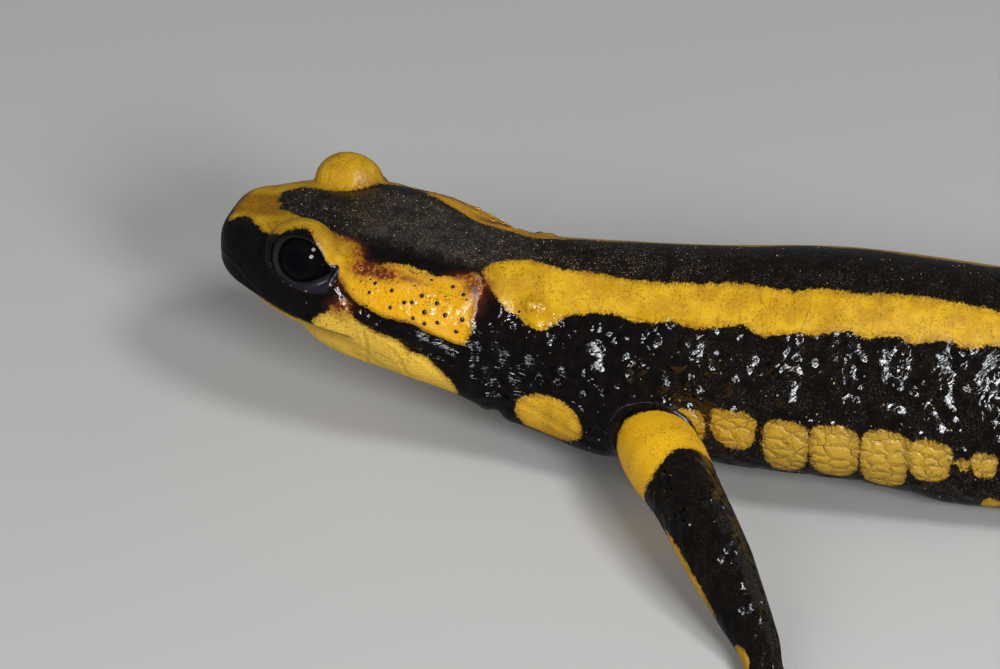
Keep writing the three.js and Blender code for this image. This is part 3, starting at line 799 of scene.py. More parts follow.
def smooth_line(line, closed=False, steps=6):
    """A soft curve through given places."""
    places = np.array(line, float)
    if closed:
        places = np.concatenate([places[-1:], places, places[:2]])
    else:
        places = np.concatenate([2 * places[:1] - places[1:2], places, 2 * places[-1:] - places[-2:-1]])
    t = (np.arange(steps) / steps)[:, None, None]
    p0, p1, p2, p3 = places[:-3], places[1:-2], places[2:-1], places[3:]
    curve = bridge(p1, (p2 - p0) / 2, p2, (p3 - p1) / 2, t).transpose(1, 0, 2).reshape(-1, 2)
    return curve if closed else np.concatenate([curve, places[-2:-1]])


def line_distance(line, sign=1, closed=False):
    """Distance in millimetres to a line of stations and turns on one side, positive inside a closed one."""
    places = np.where(on_body[:, None], np.stack([station, turn * sign * GIRTH], -1), 1e3)
    curve = smooth_line(line, closed) * [1, GIRTH]
    if closed:
        curve = np.concatenate([curve, curve[:1]])
    near = ((places > curve.min(0) - LINE_REACH) & (places < curve.max(0) + LINE_REACH)).all(1)
    p, a, b = places[near][:, None], curve[:-1], curve[1:]
    w = np.clip(((p - a) * (b - a)).sum(2) / np.maximum(((b - a) ** 2).sum(1), 1e-9), 0, 1)
    distance = np.full(len(places), LINE_REACH)
    distance[near] = np.minimum(np.linalg.norm(p - a - w[..., None] * (b - a), axis=2).min(1), LINE_REACH)
    if not closed:
        return distance
    crossing = ((a[:, 1] > p[..., 1]) != (b[:, 1] > p[..., 1]))
    climb = np.where(a[:, 1] == b[:, 1], 1, b[:, 1] - a[:, 1])
    crossing &= p[..., 0] < (b[:, 0] - a[:, 0]) * (p[..., 1] - a[:, 1]) / climb + a[:, 0]
    inside = np.zeros(len(places), bool)
    inside[near] = crossing.sum(1) % 2 == 1
    return np.where(inside, distance, -distance)


def hill(distance, width):
    return np.exp(-((distance / width) ** 2))


def outward_of(points):
    a, b, c = points[triangles].transpose(1, 0, 2)
    across = np.cross(b - a, c - a)
    total = [np.bincount(triangles.ravel(), np.repeat(across[:, i], 3), len(points)) for i in range(3)]
    total = np.stack(total, -1)
    return total / np.maximum(np.linalg.norm(total, axis=1, keepdims=True), 1e-12)


# ---------------------------------------------------------------- skin: folds, grooves, glands
# The relief of the skin, raised or sunk along the surface: the mouth, the lids' rims and creases, the
# costal grooves between the ribs' muscles, neck and throat folds, and the warty glands of the flanks.

MOUTH_GROOVE = {"depth": 0.30, "width": 0.12, "end": 13.9, "fade": 1.3}
UPPER_LIP = {"height": 0.08, "above": 0.42, "width": 0.3}
JAW_INSET = {"depth": 0.16, "below": 0.5, "width": 0.45}
LIP_RIDGE = [[0.6, 58], [1.4, 62], [2.6, 67], [3.5, 73], [4.4, 78], [5.4, 81]]
NOSTRIL = {"station": 2.2, "turn": 44, "radius": 0.22, "depth": 0.34, "rim": 0.06}
LID_CREASE = {"depth": 0.13, "width": 0.26}
FOLDS = [  # line of stations and turns, depth, half width
    [[[11.7, 56], [12.4, 61], [13.4, 67.5], [14.6, 71], [16.6, 75], [18.9, 76.5], [20.7, 81.5], [22.3, 86]],
     0.30, 0.30],
    [[[13.0, 68], [13.9, 76], [15.8, 82], [17.8, 87], [19.7, 95], [20.9, 103]], 0.10, 0.22],
    [[[22.9, 38], [23.1, 47], [23, 60], [23.1, 74], [23.4, 88], [23.7, 100]], 0.17, 0.42],
    [[[23.5, 35], [24.7, 42], [25.4, 46], [25.9, 51], [26.5, 57]], 0.09, 0.20],
    [[[24.6, 96], [24.9, 112], [24.4, 130], [23.8, 150], [23.6, 170]], 0.30, 0.42],
    [[[14.7, 82], [14.9, 92], [14.7, 102], [14.4, 112]], 0.10, 0.16],
    [[[17.2, 92], [17.9, 101], [18.1, 112]], 0.07, 0.16],
    [[[10.5, 101], [12.6, 98], [14.7, 97], [17, 99]], 0.08, 0.18],
    [[[11.4, 109], [14, 106], [17, 108], [20, 112]], 0.07, 0.16],
    [[[20.8, 92], [22.5, 98], [24.5, 101], [27.2, 104]], 0.10, 0.2],
    [[[24, 108], [27, 112], [30, 116], [33, 120]], 0.12, 0.22],
    [[[26, 66], [28, 72], [30.5, 80], [32.4, 90]], 0.14, 0.3],
    [[[30.4, 62], [31.5, 72], [32.6, 80], [33.6, 88]], 0.12, 0.3],
    [[[36.6, 60], [38.4, 70], [39.6, 79], [40.4, 88]], 0.16, 0.3],
    [[[35.2, 56], [36.6, 66], [37.6, 76], [38, 83]], 0.09, 0.22],
    [[[84.5, 60], [86.5, 72], [87.5, 84]], 0.16, 0.35],
    [[[93.5, 50], [94.8, 70], [95.5, 90], [95.6, 112]], 0.18, 0.4],
]
COSTAL = {"first": 41.2, "step": 3.83, "count": 12, "depth": 0.09, "half_width": 0.36, "swell": 0.03}
TAIL_GROOVES = {"first": 99, "step": 4.2, "count": 15, "depth": 0.12, "half_width": 0.4}

BEADS = [  # single black beads behind the gland: station, turn, radius, height
    [23.4, 52, 0.42, 0.20], [23.5, 57, 0.40, 0.18], [23.9, 61.5, 0.42, 0.20], [23.2, 65, 0.40, 0.18],
    [22.9, 70, 0.40, 0.18], [23.9, 69, 0.42, 0.16], [24.7, 64, 0.36, 0.14], [24.5, 57, 0.34, 0.12],
    [23.0, 74, 0.36, 0.14], [28.0, 62, 0.6, 0.20], [29.2, 65, 0.5, 0.20], [30.2, 67, 0.5, 0.18],
    [31.4, 63, 0.55, 0.20], [31.8, 74, 0.5, 0.18], [34.2, 65, 0.55, 0.2], [27.5, 50, 1.45, 0.24]]
WARTS = [  # count, first and last station, top and bottom turn, radii, heights
    (210, 24, 42, 42, 88, [0.42, 0.80], [0.08, 0.18]), (420, 40, 96, 42, 84, [0.40, 0.78], [0.06, 0.16]),
    (70, 27, 92, 46, 74, [0.7, 1.1], [0.10, 0.20]), (160, 24, 92, 84, 118, [0.3, 0.6], [0.02, 0.05])]
SWELLINGS = ((59, 1.05, 0.34), (47, 0.7, 0.16), (73, 0.8, 0.20))  # turn, size, height between two grooves
LID_ROLL = {"height": 0.09, "width": 1.6, "groove": 0.10, "below": 4.2, "groove_width": 1.1}
LIMB_CREASE = {"depth": 0.05, "width": 0.22, "step": 1.1, "elbow": 8.6, "knee": 10.5}
WART_SEED = 11

relief = np.zeros(len(points))
away = np.abs(turn)
outward = outward_of(points)

lip_offset = height - along(LIP_LINE, station)
mouth_end = smooth((station - MOUTH_GROOVE["end"] + MOUTH_GROOVE["fade"]) / MOUTH_GROOVE["fade"])
mouth = (1 - mouth_end) * on_body * smooth((0.85 - np.abs(outward[:, 2])) / 0.3) * (np.abs(lip_offset) < 3)
relief -= mouth * MOUTH_GROOVE["depth"] * hill(lip_offset, MOUTH_GROOVE["width"])
relief += mouth * UPPER_LIP["height"] * hill(lip_offset - UPPER_LIP["above"], UPPER_LIP["width"])
relief -= mouth * JAW_INSET["depth"] * hill(lip_offset + JAW_INSET["below"], JAW_INSET["width"])
# A dark brown line on the yellow along the mouth: painted shade in the mouth's crease.
mouth_shade_line = np.clip(1.5 * mouth * hill(lip_offset + 0.04, 0.15), 0, 1) * fade_in(station, 9.6, 1.2)

for sign in (1, -1):
    below_ridge = line_distance([[s, a + 5] for s, a in LIP_RIDGE], sign)
    relief += 0.06 * hill(line_distance(LIP_RIDGE, sign), 0.2) - 0.05 * hill(below_ridge, 0.25)
    nostril_turn = (turn * sign - NOSTRIL["turn"]) * GIRTH * 0.75
    from_nostril = np.hypot(station - NOSTRIL["station"], nostril_turn)
    relief -= NOSTRIL["depth"] * hill(from_nostril, NOSTRIL["radius"]) * on_body
    relief += NOSTRIL["rim"] * hill(from_nostril - 0.38, 0.16) * on_body
    for line, depth, width in FOLDS:
        distance = line_distance(line, sign)
        relief += depth * (0.35 * hill(distance - 2.2 * width, width) - hill(distance, width))

on_head = on_body & (station < 14)


def nearest_of_pair(swelling):
    return np.minimum(*(outside_swelling(swelling, sign, station, side, height) for sign in (1, -1)))


lid_field = nearest_of_pair(LID)
head_field = np.minimum(outside_plain(station, side, height), nearest_of_pair(PAROTOID))
crease = hill(lid_field - head_field, LID_CREASE["width"]) * hill(np.minimum(lid_field, head_field), 0.5)
relief -= LID_CREASE["depth"] * crease * on_head

# The lower lid is a soft moist roll under the eye, with a groove below it.
socket = np.zeros(len(points), bool)
lid_rim, lower_lid = np.zeros(len(points)), np.zeros(len(points))
for name, rings in eye_ring_numbers.items():
    ring_turn = eye_ring_turns[name]
    below = smooth((0.35 - np.sin(ring_turn)) / 0.7) * (1 - smooth((np.cos(ring_turn) - 0.05) / 0.6))
    for k in range(1, LID_RINGS + LIP_RINGS + 1):
        past = k - LID_RINGS
        roll = (LID_ROLL["height"] * hill(past + 0.5, LID_ROLL["width"])
                - LID_ROLL["groove"] * hill(past + LID_ROLL["below"], LID_ROLL["groove_width"]))
        relief[rings[k]] = relief[rings[k]] * min(1, max(0, -past / 4)) + roll * below
        lower_lid[rings[k]] = below * fade_in(past, -4.5, 2)
        lid_rim[rings[k]] = fade_in(past, 1.5, 1.5)
    socket[rings[LID_RINGS + LIP_RINGS - 1:].ravel()] = True
    lid_rim[rings[LID_RINGS + LIP_RINGS - 1:].ravel()] = 1

# Costal grooves from below the back's stripe to the belly, leaning back a little as they go down.
side_band = fade_in(away, 14, 30) * fade_out(away, 118, 40) * on_body
for k in range(COSTAL["count"]):
    lean = 0.010 * (away - 75) + 0.10 * np.sin(away * 0.13 + k)
    offset = station - COSTAL["first"] - COSTAL["step"] * k - lean
    deep = fade_in(away, 34, 10) * 0.8 + 0.2
    relief -= COSTAL["depth"] * side_band * deep * hill(offset, COSTAL["half_width"])
    middle = hill(offset - COSTAL["step"] / 2, COSTAL["step"] * 0.33)
    relief += COSTAL["swell"] * side_band * deep * middle * (k < COSTAL["count"] - 1)
tail_band = fade_in(away, 8, 30) * fade_out(away, 130, 30) * on_body
for k in range(TAIL_GROOVES["count"]):
    offset = station - TAIL_GROOVES["first"] - TAIL_GROOVES["step"] * k
    fade = (1 - k / TAIL_GROOVES["count"]) ** 0.5
    relief -= TAIL_GROOVES["depth"] * fade * tail_band * hill(offset, TAIL_GROOVES["half_width"])

# Wet warty glands: large swellings and a crowd of small ones between each two grooves.
rng = np.random.default_rng(WART_SEED)
flank = on_body & (station > 22) & (station < 98) & (away > 28) & (away < 122)
flank_places = np.stack([station, turn * GIRTH], -1)[flank]
flank_relief = np.zeros(len(flank_places))


def raise_flank(middle, radii, lift, roundness, reach=np.inf):
    """One swelling of the flanks, as far out as its reach."""
    offset = (flank_places - middle) / radii
    near = (np.abs(offset) < reach).all(1)
    flank_relief[near] += lift * np.exp(-(offset[near] ** 2).sum(1) ** roundness)


for count, first, last, top, bottom, radii, heights in WARTS:
    for _ in range(count):
        sign = rng.choice([-1, 1])
        middle = np.array([rng.uniform(first, last), sign * rng.uniform(top, bottom) * GIRTH])
        radius = rng.uniform(*radii)
        lengths = np.array([radius * rng.uniform(0.8, 1.15), radius])
        raise_flank(middle, lengths, rng.uniform(*heights), 1.3, 2.2)
for sign in (1, -1):
    for k in range(-3, COSTAL["count"]):
        for around, size, lift in SWELLINGS:
            middle = COSTAL["first"] + COSTAL["step"] * (k + 0.5) + 0.5 * math.sin(k * 3.1 + around)
            middle_turn = around + 3.5 * math.sin(k * 2.3 + around)
            raise_flank([middle, sign * middle_turn * GIRTH], [size, 1.15 * size], lift, 1.4)
    for middle, around, radius, lift in BEADS:
        raise_flank([middle, sign * around * GIRTH], radius, lift, 1.5)
edge_fade = 0.12 + 0.88 * smooth((np.abs(flank_places[:, 1]) / GIRTH - 38) / 7)
relief[flank] += flank_relief * edge_fade

# Loose skin at elbows and knees, and low ridges over the backs of hands and feet.
for name in LIMBS:
    here = limb_of == name
    bend = LIMB_CREASE["elbow"] if name.startswith("arm") else LIMB_CREASE["knee"]
    inner = 0.5 - 0.5 * np.cos(np.radians(limb_around + 80))
    for k in range(-2, 4):
        sway = 0.35 * np.sin(np.radians(limb_around * 2 + 70 * k))
        offset = limb_along - bend - LIMB_CREASE["step"] * k - sway
        relief -= LIMB_CREASE["depth"] * hill(offset, LIMB_CREASE["width"]) * here * inner
    knuckles = here & (limb_along > limb_places[name][0][1][-1, 0] + 0.5)
    relief += knuckles * 0.05 * np.sin(limb_along * 4.2) * (limb_around < 180)

relief[socket] = 0
points = points + outward * relief[:, None]
points[:, 2] = np.maximum(points[:, 2], 0)


# ---------------------------------------------------------------- skin: the yellow markings
# Yellow is laid over the black in patches with given outlines: cap and lids, parotoid glands, jaws, two
# stripes down the back, a row of spots low on each flank, blotches on hips and tail, and the limbs' upper
# joints.

CAP = [[0.9, -4], [1.0, 14], [1.1, 29], [1.9, 24.5], [2.5, 22], [3.1, 27], [3.8, 33], [4.5, 38], [5.1, 40],
       [6.0, 43], [7.1, 43], [7.9, 40.5], [9, 38], [9.7, 40], [10.2, 43], [10.6, 46.5], [11.3, 51.5],
       [11.9, 55], [12.6, 60.5], [13.6, 66], [14.6, 69], [15.4, 71], [16.6, 73], [17.8, 73], [18.9, 74.5],
       [19.7, 78], [20.7, 79.5], [21.7, 82], [22.4, 80], [22.7, 74], [22.9, 64], [22.9, 55], [23.1, 47],
       [22.9, 38], [22.2, 34], [21.1, 39], [19.8, 43.5], [18.3, 46], [17.5, 45.5], [16.7, 45], [15.2, 48],
       [14.3, 46.5], [13.8, 43.5], [13.3, 38], [12.7, 33], [11.9, 31], [11.2, 30], [10.5, 28.5], [9.9, 26.5],
       [9.2, 24], [8.4, 21], [7.6, 18.5], [6.7, 15.5], [5.9, 12], [4.8, 7], [4.4, -4]]
CAP_RIGHT = [[0.9, -4], [1.0, 14], [1.1, 34], [1.8, 42], [2.7, 47], [3.6, 50], [4.4, 52], [5.3, 52],
             [6.3, 49], [7.4, 47.5], [8.8, 47], [10.2, 48], [11.2, 52], [12.0, 56], [12.9, 61.5],
             [13.8, 66], [14.9, 70], [16.3, 72], [17.6, 74], [18.7, 74], [19.8, 77.5], [20.9, 80],
             [21.9, 81], [22.7, 76], [23.1, 66], [23.3, 54], [24.2, 44], [25.6, 34], [25.6, 22],
             [23.8, 21], [21.3, 28], [18.6, 32.5], [16.7, 36], [15.7, 39], [14.6, 44], [13.4, 47],
             [12.3, 47], [11.5, 44], [10.9, 37], [10.4, 32.5], [9.8, 29], [9.2, 26.5], [8.4, 25],
             [7.4, 25.5], [6.4, 27], [5.6, 29], [5.0, 28], [4.5, 25], [4.1, 20], [4.3, 4], [4.3, -4]]
SLIVER = [[13.9, 47.5], [15.3, 44.5], [16.4, 42.5], [17.9, 42.8], [19.2, 44.2], [18.2, 46.2], [16.6, 46.6],
          [15, 49]]
JAW = [[3.0, 101], [3.6, 94.5], [6, 93], [8.6, 92.5], [10.1, 89], [10.3, 84.5], [11.5, 76.5], [12.3, 70.5],
       [13.1, 67], [13.7, 73], [14.1, 76.5], [15.8, 81], [17.6, 84.5], [18.3, 90], [19.7, 93.5], [20.5, 99],
       [21.4, 106], [21.8, 115], [21.4, 127], [19.5, 140], [15.5, 150], [10, 151], [6, 140], [3.8, 118]]
STRIPE = [[22.7, 29], [23.7, 19.5], [25.2, 15], [26.8, 15], [28.5, 17.5], [30.1, 17], [31.7, 17],
          [33.3, 18.5], [36.5, 19], [39.6, 18.5], [42.7, 17], [45.9, 19.5], [47.5, 20], [49, 18], [52.2, 19],
          [55.3, 17], [58.4, 17], [61.6, 18], [64, 19.5], [67, 20], [71, 17], [75, 20], [78.5, 17], [82, 20],
          [85.5, 27], [86.4, 36], [83.5, 42], [79.5, 39], [76, 43], [72, 39], [68.5, 41.5], [65.5, 38],
          [63.3, 36.5], [61.1, 39.5], [59.2, 37], [56.9, 40.5], [55.3, 38], [52.9, 40.5], [51.3, 38],
          [49.1, 42], [47.9, 41], [45.2, 44], [44.4, 42.5], [43.1, 39], [40.1, 42.5], [37.7, 40],
          [35.3, 42.5], [32.9, 39], [29.8, 44], [29.1, 49], [28.3, 54.5], [27.6, 58.5], [26.6, 58], [26, 55],
          [25.2, 53], [24.4, 49], [23.6, 43]]
CHEST_SPOT = [[26.0, 112], [27, 104], [28.2, 100], [29.6, 99], [30.8, 103], [31.3, 112], [30.5, 123],
              [28.6, 131], [26.5, 129]]
HIP_BLOTCH = [[90.2, 24], [93, 13], [97.5, 12], [101, 20], [102.4, 36], [100.4, 54], [96, 62], [92, 56],
              [89.8, 40]]
TAIL_STRIPES = [[[105.5, 22], [110, 11], [116, 14], [118.8, 28], [117, 46], [111, 54], [106.4, 44]],
                [[121.5, 26], [125, 12], [132, 10], [139, 16], [140.4, 34], [135, 50], [127, 54],
                 [122.4, 44]],
                [[146, 30], [149, 12], [153.4, 18], [153.6, 46], [149, 60]],
                [[161, 20], [163.8, 8], [166.6, 28], [164.6, 60], [161.8, 48]]]
FLANK_SPOTS = [[38.5, 41.0, 86, 106], [41.4, 45.0, 82, 102], [45.5, 49.1, 83, 112], [49.2, 53.1, 82.5, 111],
               [53.2, 57.0, 82.5, 116], [57.0, 60.4, 84.5, 106], [60.8, 61.9, 92, 98], [62.0, 64.1, 88, 101],
               [67.2, 70.2, 88, 106], [71.5, 74.6, 84, 101], [79.2, 81.8, 86, 102]]
RIGHT_SHIFT = {"station": 0.7, "turn": -2.5}
BELLY_SPOTS = [[63.8, 122, 1.0], [47, 148, 1.4], [71, 156, 1.6], [78, 128, 1.1], [36, 150, 1.3],
               [84, 150, 1.2], [104, 120, 1.2], [121, 118, 1.0]]
BLOTCH = [[0.02, 0.18], [0.14, 0.03], [0.5, 0], [0.86, 0.04], [0.99, 0.18], [1, 0.5], [0.93, 0.82],
          [0.7, 0.98], [0.4, 1], [0.14, 0.86], [0.03, 0.55]]  # broad above, rounded off below
RIPPLE = {"scale": 0.30, "height": 0.75, "from": 88}
LIMB_GOLD = {  # the yellow's ends along the limb, its lean, and patches: along, round, half length, half turn
    "arm_left": {"from": 1.3, "to": 7.6, "lean": 0.4, "patches": [[16.5, 193, 4.3, 20], [26, 185, 2.3, 38]]},
    "arm_right": {"from": 0.6, "to": 7.4, "lean": 1.0,
                  "patches": [[14.5, 150, 2.6, 30], [20.5, 100, 1.6, 40]]},
    "leg_left": {"from": 1.0, "to": 9.0, "lean": 1.4, "patches": [[17, 120, 2.3, 40], [24.5, 80, 1.5, 50]]},
    "leg_right": {"from": 1.0, "to": 8.6, "lean": 1.2,
                  "patches": [[16, 100, 2.4, 40], [25.5, 100, 1.8, 45]]},
}
RUST = [  # station, turn, radii along and across in millimetres, strength
    [12.0, 31.5, 1.4, 0.45, 1.0], [13.3, 38, 0.9, 1.0, 1.1], [14.1, 49.0, 1.1, 0.75, 1.5],
    [15.6, 50.2, 1.5, 0.50, 1.5], [17.4, 50.5, 1.8, 0.28, 0.8], [11.9, 66, 1.0, 1.0, 1.2],
    [12.7, 71, 1.1, 0.8, 1.1], [21.4, 38.0, 1.4, 0.65, 1.1], [22.7, 43, 1.0, 1.2, 1.3],
    [23.3, 52, 0.6, 1.2, 1.2]]
WET = [  # station, turn, radii along and across in millimetres
    [27.3, 50, 2.2, 1.6], [18.5, 66, 4.4, 0.9], [15, 60, 2.2, 0.8], [12.3, 73, 1.5, 0.8],
    [19.2, 90, 2.6, 0.9], [15.6, 74, 2.4, 0.7], [22.6, 72, 0.9, 1.3], [37, 40, 3.2, 0.6],
    [12.2, 55, 0.6, 0.6], [20.6, 62, 2.2, 1.4], [16.9, 61, 2.4, 0.7]]

gold = np.full(len(points), -LINE_REACH)
amber, pale_and_lit, padded, rust, wet = (np.zeros(len(points)) for _ in range(5))


def lay_gold(distance):
    global gold
    gold = np.maximum(gold, distance)


for sign in (1, -1):
    cap = line_distance(CAP if sign > 0 else CAP_RIGHT, sign, closed=True)
    lay_gold(cap)
    lay_gold(line_distance(SLIVER, sign, closed=True))
    jaw = line_distance(JAW, sign, closed=True)
    lay_gold(jaw)
    # The jaw's yellow is paler and lighter: partly its own paler colour, partly painted light on the jaw.
    pale_and_lit = np.maximum(pale_and_lit, fade_in(jaw, -0.2, 0.5))
    gland = on_body & (station > 11.5) & (station < 25)
    amber = np.maximum(amber, gland * fade_in(cap, -0.3, 0.6) * fade_in(station, 12, 3.5))
    shift = np.array([RIGHT_SHIFT["station"], RIGHT_SHIFT["turn"]]) * (sign < 0)
    for outline in [STRIPE, CHEST_SPOT, HIP_BLOTCH] + TAIL_STRIPES:
        moved = np.array(outline) + shift
        if outline is STRIPE and sign < 0:
            moved[:, 1] += 1.5 - 3.0 * (1 - smooth((moved[:, 0] - 41) / 6))
        lay_gold(line_distance(moved, sign, closed=True))
    for start, end, top, bottom in FLANK_SPOTS:
        outline = np.array(BLOTCH) * [end - start, bottom - top] + [start, top] + shift
        spot = line_distance(outline, sign, closed=True)
        lay_gold(spot)
        padded = np.maximum(padded, fade_in(spot, -0.3, 0.3))
    for middle, around, radius in BELLY_SPOTS:
        off_turn = (turn * sign - around) * GIRTH
        wobble = 1 + 0.15 * np.sin(3 * np.arctan2(off_turn, station - middle) + middle)
        from_middle = np.hypot(station - middle - 1.5 * (sign < 0), off_turn)
        spot = np.clip(radius * wobble - from_middle, -LINE_REACH, LINE_REACH)
        lay_gold(np.where(on_body, spot, -LINE_REACH))

ripple = np.array([noise.noise(Vector(p) * RIPPLE["scale"]) if s > RIPPLE["from"] else 0.0
                   for p, s in zip(points, station)])
ripple = RIPPLE["height"] * ripple * smooth((station - RIPPLE["from"]) / 2)
gold += np.where(on_body & (gold > 0.1 - LINE_REACH), ripple, 0)

# Limbs: the upper joint is yellow, with a strip along the lower one and patches on hand and foot.
for name, marks in LIMB_GOLD.items():
    around = np.radians(limb_around)
    start = marks["from"] + 0.25 * np.sin(around * 2 + 1)
    end = marks["to"] - marks["lean"] * np.cos(around) + 0.3 * np.sin(3 * around)
    distance = np.minimum(limb_along - start, end - limb_along)
    if "leg" in name:
        under = np.where(limb_around > 180, np.sin(around - math.pi), 0)
        distance -= 1.6 * fade_in(under, 0.75, 0.25)
    for middle, patch_around, half_length, half_turn in marks["patches"]:
        off_turn = (limb_around - patch_around + 180) % 360 - 180
        q = np.sqrt(((limb_along - middle) / half_length) ** 2 + (off_turn / half_turn) ** 2)
        distance = np.maximum(distance, (1 - q) * min(half_length, half_turn * LIMB_GIRTH))
    here = limb_of == name
    gold = np.where(here, np.clip(distance, -LINE_REACH, LINE_REACH), gold)
    amber = np.where(here & (limb_along < 14), 0.9, amber)
# The limbs' yellow near the body is made brighter: painted light, for the light the limbs catch.
limb_light = np.where(on_body, 0, 0.9 * fade_out(limb_along, 12, 4))

lid_corner = hill(np.hypot(station - 12.05, (away - 53.5) * GIRTH), 0.28)
gold -= 2.2 * lid_corner * (lower_lid + lid_rim > 0.02)

# Reddish brown where the black thins out over the yellow: behind the lids, before and behind the glands,
# and at the mouth's corner.
for middle, around, long, wide, strength in RUST:
    for sign in (1, -1):
        q = ((station - middle) / long) ** 2 + ((turn * sign - around) * GIRTH / wide) ** 2
        rust = np.maximum(rust, strength * np.exp(-q) * on_body)

# Dust lies on the crown and the back, thickest over the nape; flanks, muzzle and limbs are wet.
over_back = np.where(on_body, 1 - smooth((away - 20 - 7 * (turn < 0)) / 16), 0)
nape = fade_in(station, 9.5, 4) * fade_out(station, 21.5, 8)
crown = fade_in(station, 4, 1.5) * fade_out(station, 34, 8)
dusty = over_back * np.clip(0.06 + 0.90 * nape + 0.05 * crown, 0, 1) * fade_in(station, 3.6, 1.2)
specked = over_back * np.clip(0.30 + 0.6 * crown, 0, 1)
specked = np.maximum(specked, 0.2 * on_body * fade_in(away, 32, 12) * fade_in(station, 34, 8))
specked = np.where(on_body, specked, 0.6 * hill((limb_around + 150) % 360 - 150, 55) + 0.08)
warty = fade_in(away, 30, 8) * fade_out(away, 112, 20) * fade_in(station, 21, 4)
warty = np.where(on_body, warty, 0)
under_gland = sum(hill(line_distance(FOLDS[0][0], sign), 1.0) for sign in (1, -1))
warty = np.maximum(warty, 0.25 * np.where(on_body, under_gland, 0))
warty = np.where(on_body, warty, 1.15 * fade_in(limb_along, 7, 2))
banded = on_body * fade_in(station, 34, 4) * fade_out(away, 46, 6)
grimy = np.where(on_body, fade_in(away, 78, 22) * fade_in(station, 36, 6), 0)
for middle, around, long, wide in WET:
    q = ((station - middle) / long) ** 2 + ((away - around) * GIRTH / wide) ** 2
    wet = np.maximum(wet, np.exp(-(q**1.5)) * on_body)
wrinkled = on_body * fade_in(away, 70, 10) * fade_in(station, 11, 3) * fade_out(station, 33, 5)
# Darker ochre brown on the snout's top and the right cap: partly the skin's own brown, partly painted shade
# where they face away from the lamps.
muzzle = smooth((8 - station) / 3.5) * fade_out(away, 14, 12)
right_cap = 0.85 * (turn < 0) * fade_in(away, 38, 18) * (station < 12)
ochre_and_shade = on_body * (muzzle + right_cap)
lie = np.where(on_body[:, None], np.stack([station, turn * GIRTH * 1.12, 0 * turn], -1),
               np.stack([200 + limb_along, limb_around * LIMB_GIRTH, 0 * turn], -1))
# Where the skin is sunk, in grooves and creases, the yellow is darkened: painted shade in the hollows.
groove_shade = np.clip(-relief / 0.16, 0, 1)


# ---------------------------------------------------------------- skin: mesh and finish
# The finish is moist skin: yellow with a fine stipple and cracked pads on the flank spots, over a
# brown-black that is velvety and dusty on the back and wet and warty on the sides.

YELLOW, YELLOW_DEEP, LIMB_LIGHT_YELLOW = (0.66, 0.37, 0.009), (0.47, 0.245, 0.006), (0.93, 0.50, 0.012)
AMBER, PALE_AND_LIT, PAD = (0.72, 0.345, 0.006), (0.76, 0.48, 0.055), (0.42, 0.255, 0.028)
OCHRE_AND_SHADE, RUST_ORANGE, RUST_BROWN = (0.24, 0.097, 0.002), (0.36, 0.095, 0.010), (0.085, 0.014, 0.006)
STIPPLE, CRACK, MOUTH_SHADE = (0.15, 0.072, 0.008), (0.10, 0.050, 0.012), (0.022, 0.009, 0.004)
BLACK, BLACK_BROWN, DUSTY_BLACK = (0.0022, 0.0016, 0.0014), (0.0060, 0.0038, 0.0030), (0.056, 0.042, 0.032)
POWDER_GAPS, DUST = (0.006, 0.0045, 0.0035), (0.25, 0.175, 0.105)
LID_PURPLE, LID_RIM_BLACK = (0.022, 0.014, 0.028), (0.004, 0.003, 0.004)
LID_ROUGHNESS, DUSTY_ROUGHNESS, WET_ROUGHNESS, RIM_ROUGHNESS = 0.30, 0.78, 0.09, 0.88


def make_mesh(name, places, faces, layers):
    """A smooth mesh from places in millimetres and groups of faces, with values or vectors at its points."""
    mesh = bpy.data.meshes.new(name)
    mesh.from_pydata((places * MM).tolist(), [], [f.tolist() for group in faces for f in group])
    mesh.polygons.foreach_set("use_smooth", np.ones(len(mesh.polygons), bool))
    for label, values in layers.items():
        kind, key = ("FLOAT_VECTOR", "vector") if values.ndim == 2 else ("FLOAT", "value")
        layer = mesh.attributes.new(label, kind, "POINT").data
        layer.foreach_set(key, values.astype(np.float32).ravel())
    return mesh


used = np.unique(triangles)
renumber = np.full(len(points), -1)
renumber[used] = np.arange(len(used))
laid = {"gold": gold, "amber": amber, "pale_and_lit": pale_and_lit, "padded": padded, "rust": rust, "dusty": dusty,
        "warty": warty, "lid_rim": lid_rim, "lower_lid": lower_lid, "specked": specked, "grimy": grimy,
        "groove_shade": groove_shade, "wet": wet, "wrinkled": wrinkled, "ochre_and_shade": ochre_and_shade, "banded": banded,
        "limb_light": limb_light, "mouth_shade_line": mouth_shade_line}
layers = {name: values[used] for name, values in {**laid, "lie": lie}.items()}
skin_mesh = make_mesh("skin", points[used], [renumber[faces] for faces in skin.faces], layers)
skin_piece = put_in_scene(bpy.data.objects.new("skin", skin_mesh))


def fill(node, inputs):
    """Gives a node's sockets values, or links them to other nodes' outputs."""
    for key, value in inputs.items():
        if isinstance(value, bpy.types.NodeSocket):
            node.id_data.links.new(value, node.inputs[key])
        else:
            node.inputs[key].default_value = value


def put(kind, inputs={}, **settings):
    """Adds a node to the tree in hand, sets it and fills its sockets."""
    node = tree.nodes.new(kind)
    for key, value in settings.items():
        setattr(node, key, value)
    fill(node, inputs)
    return node


def blend(factor, a, b):
    """A colour between two."""
    a, b = (v if isinstance(v, bpy.types.NodeSocket) else (*v, 1) for v in (a, b))
    return put("ShaderNodeMix", {0: factor, 6: a, 7: b}, data_type="RGBA").outputs[2]


def between(factor, a, b):
    """A number between two."""
    return put("ShaderNodeMix", {0: factor, 2: a, 3: b}).outputs[0]


def reckon(operation, a, b, c=0.0):
    return put("ShaderNodeMath", {0: a, 1: b, 2: c}, operation=operation).outputs[0]


def times(a, b):
    return reckon("MULTIPLY", a, b)


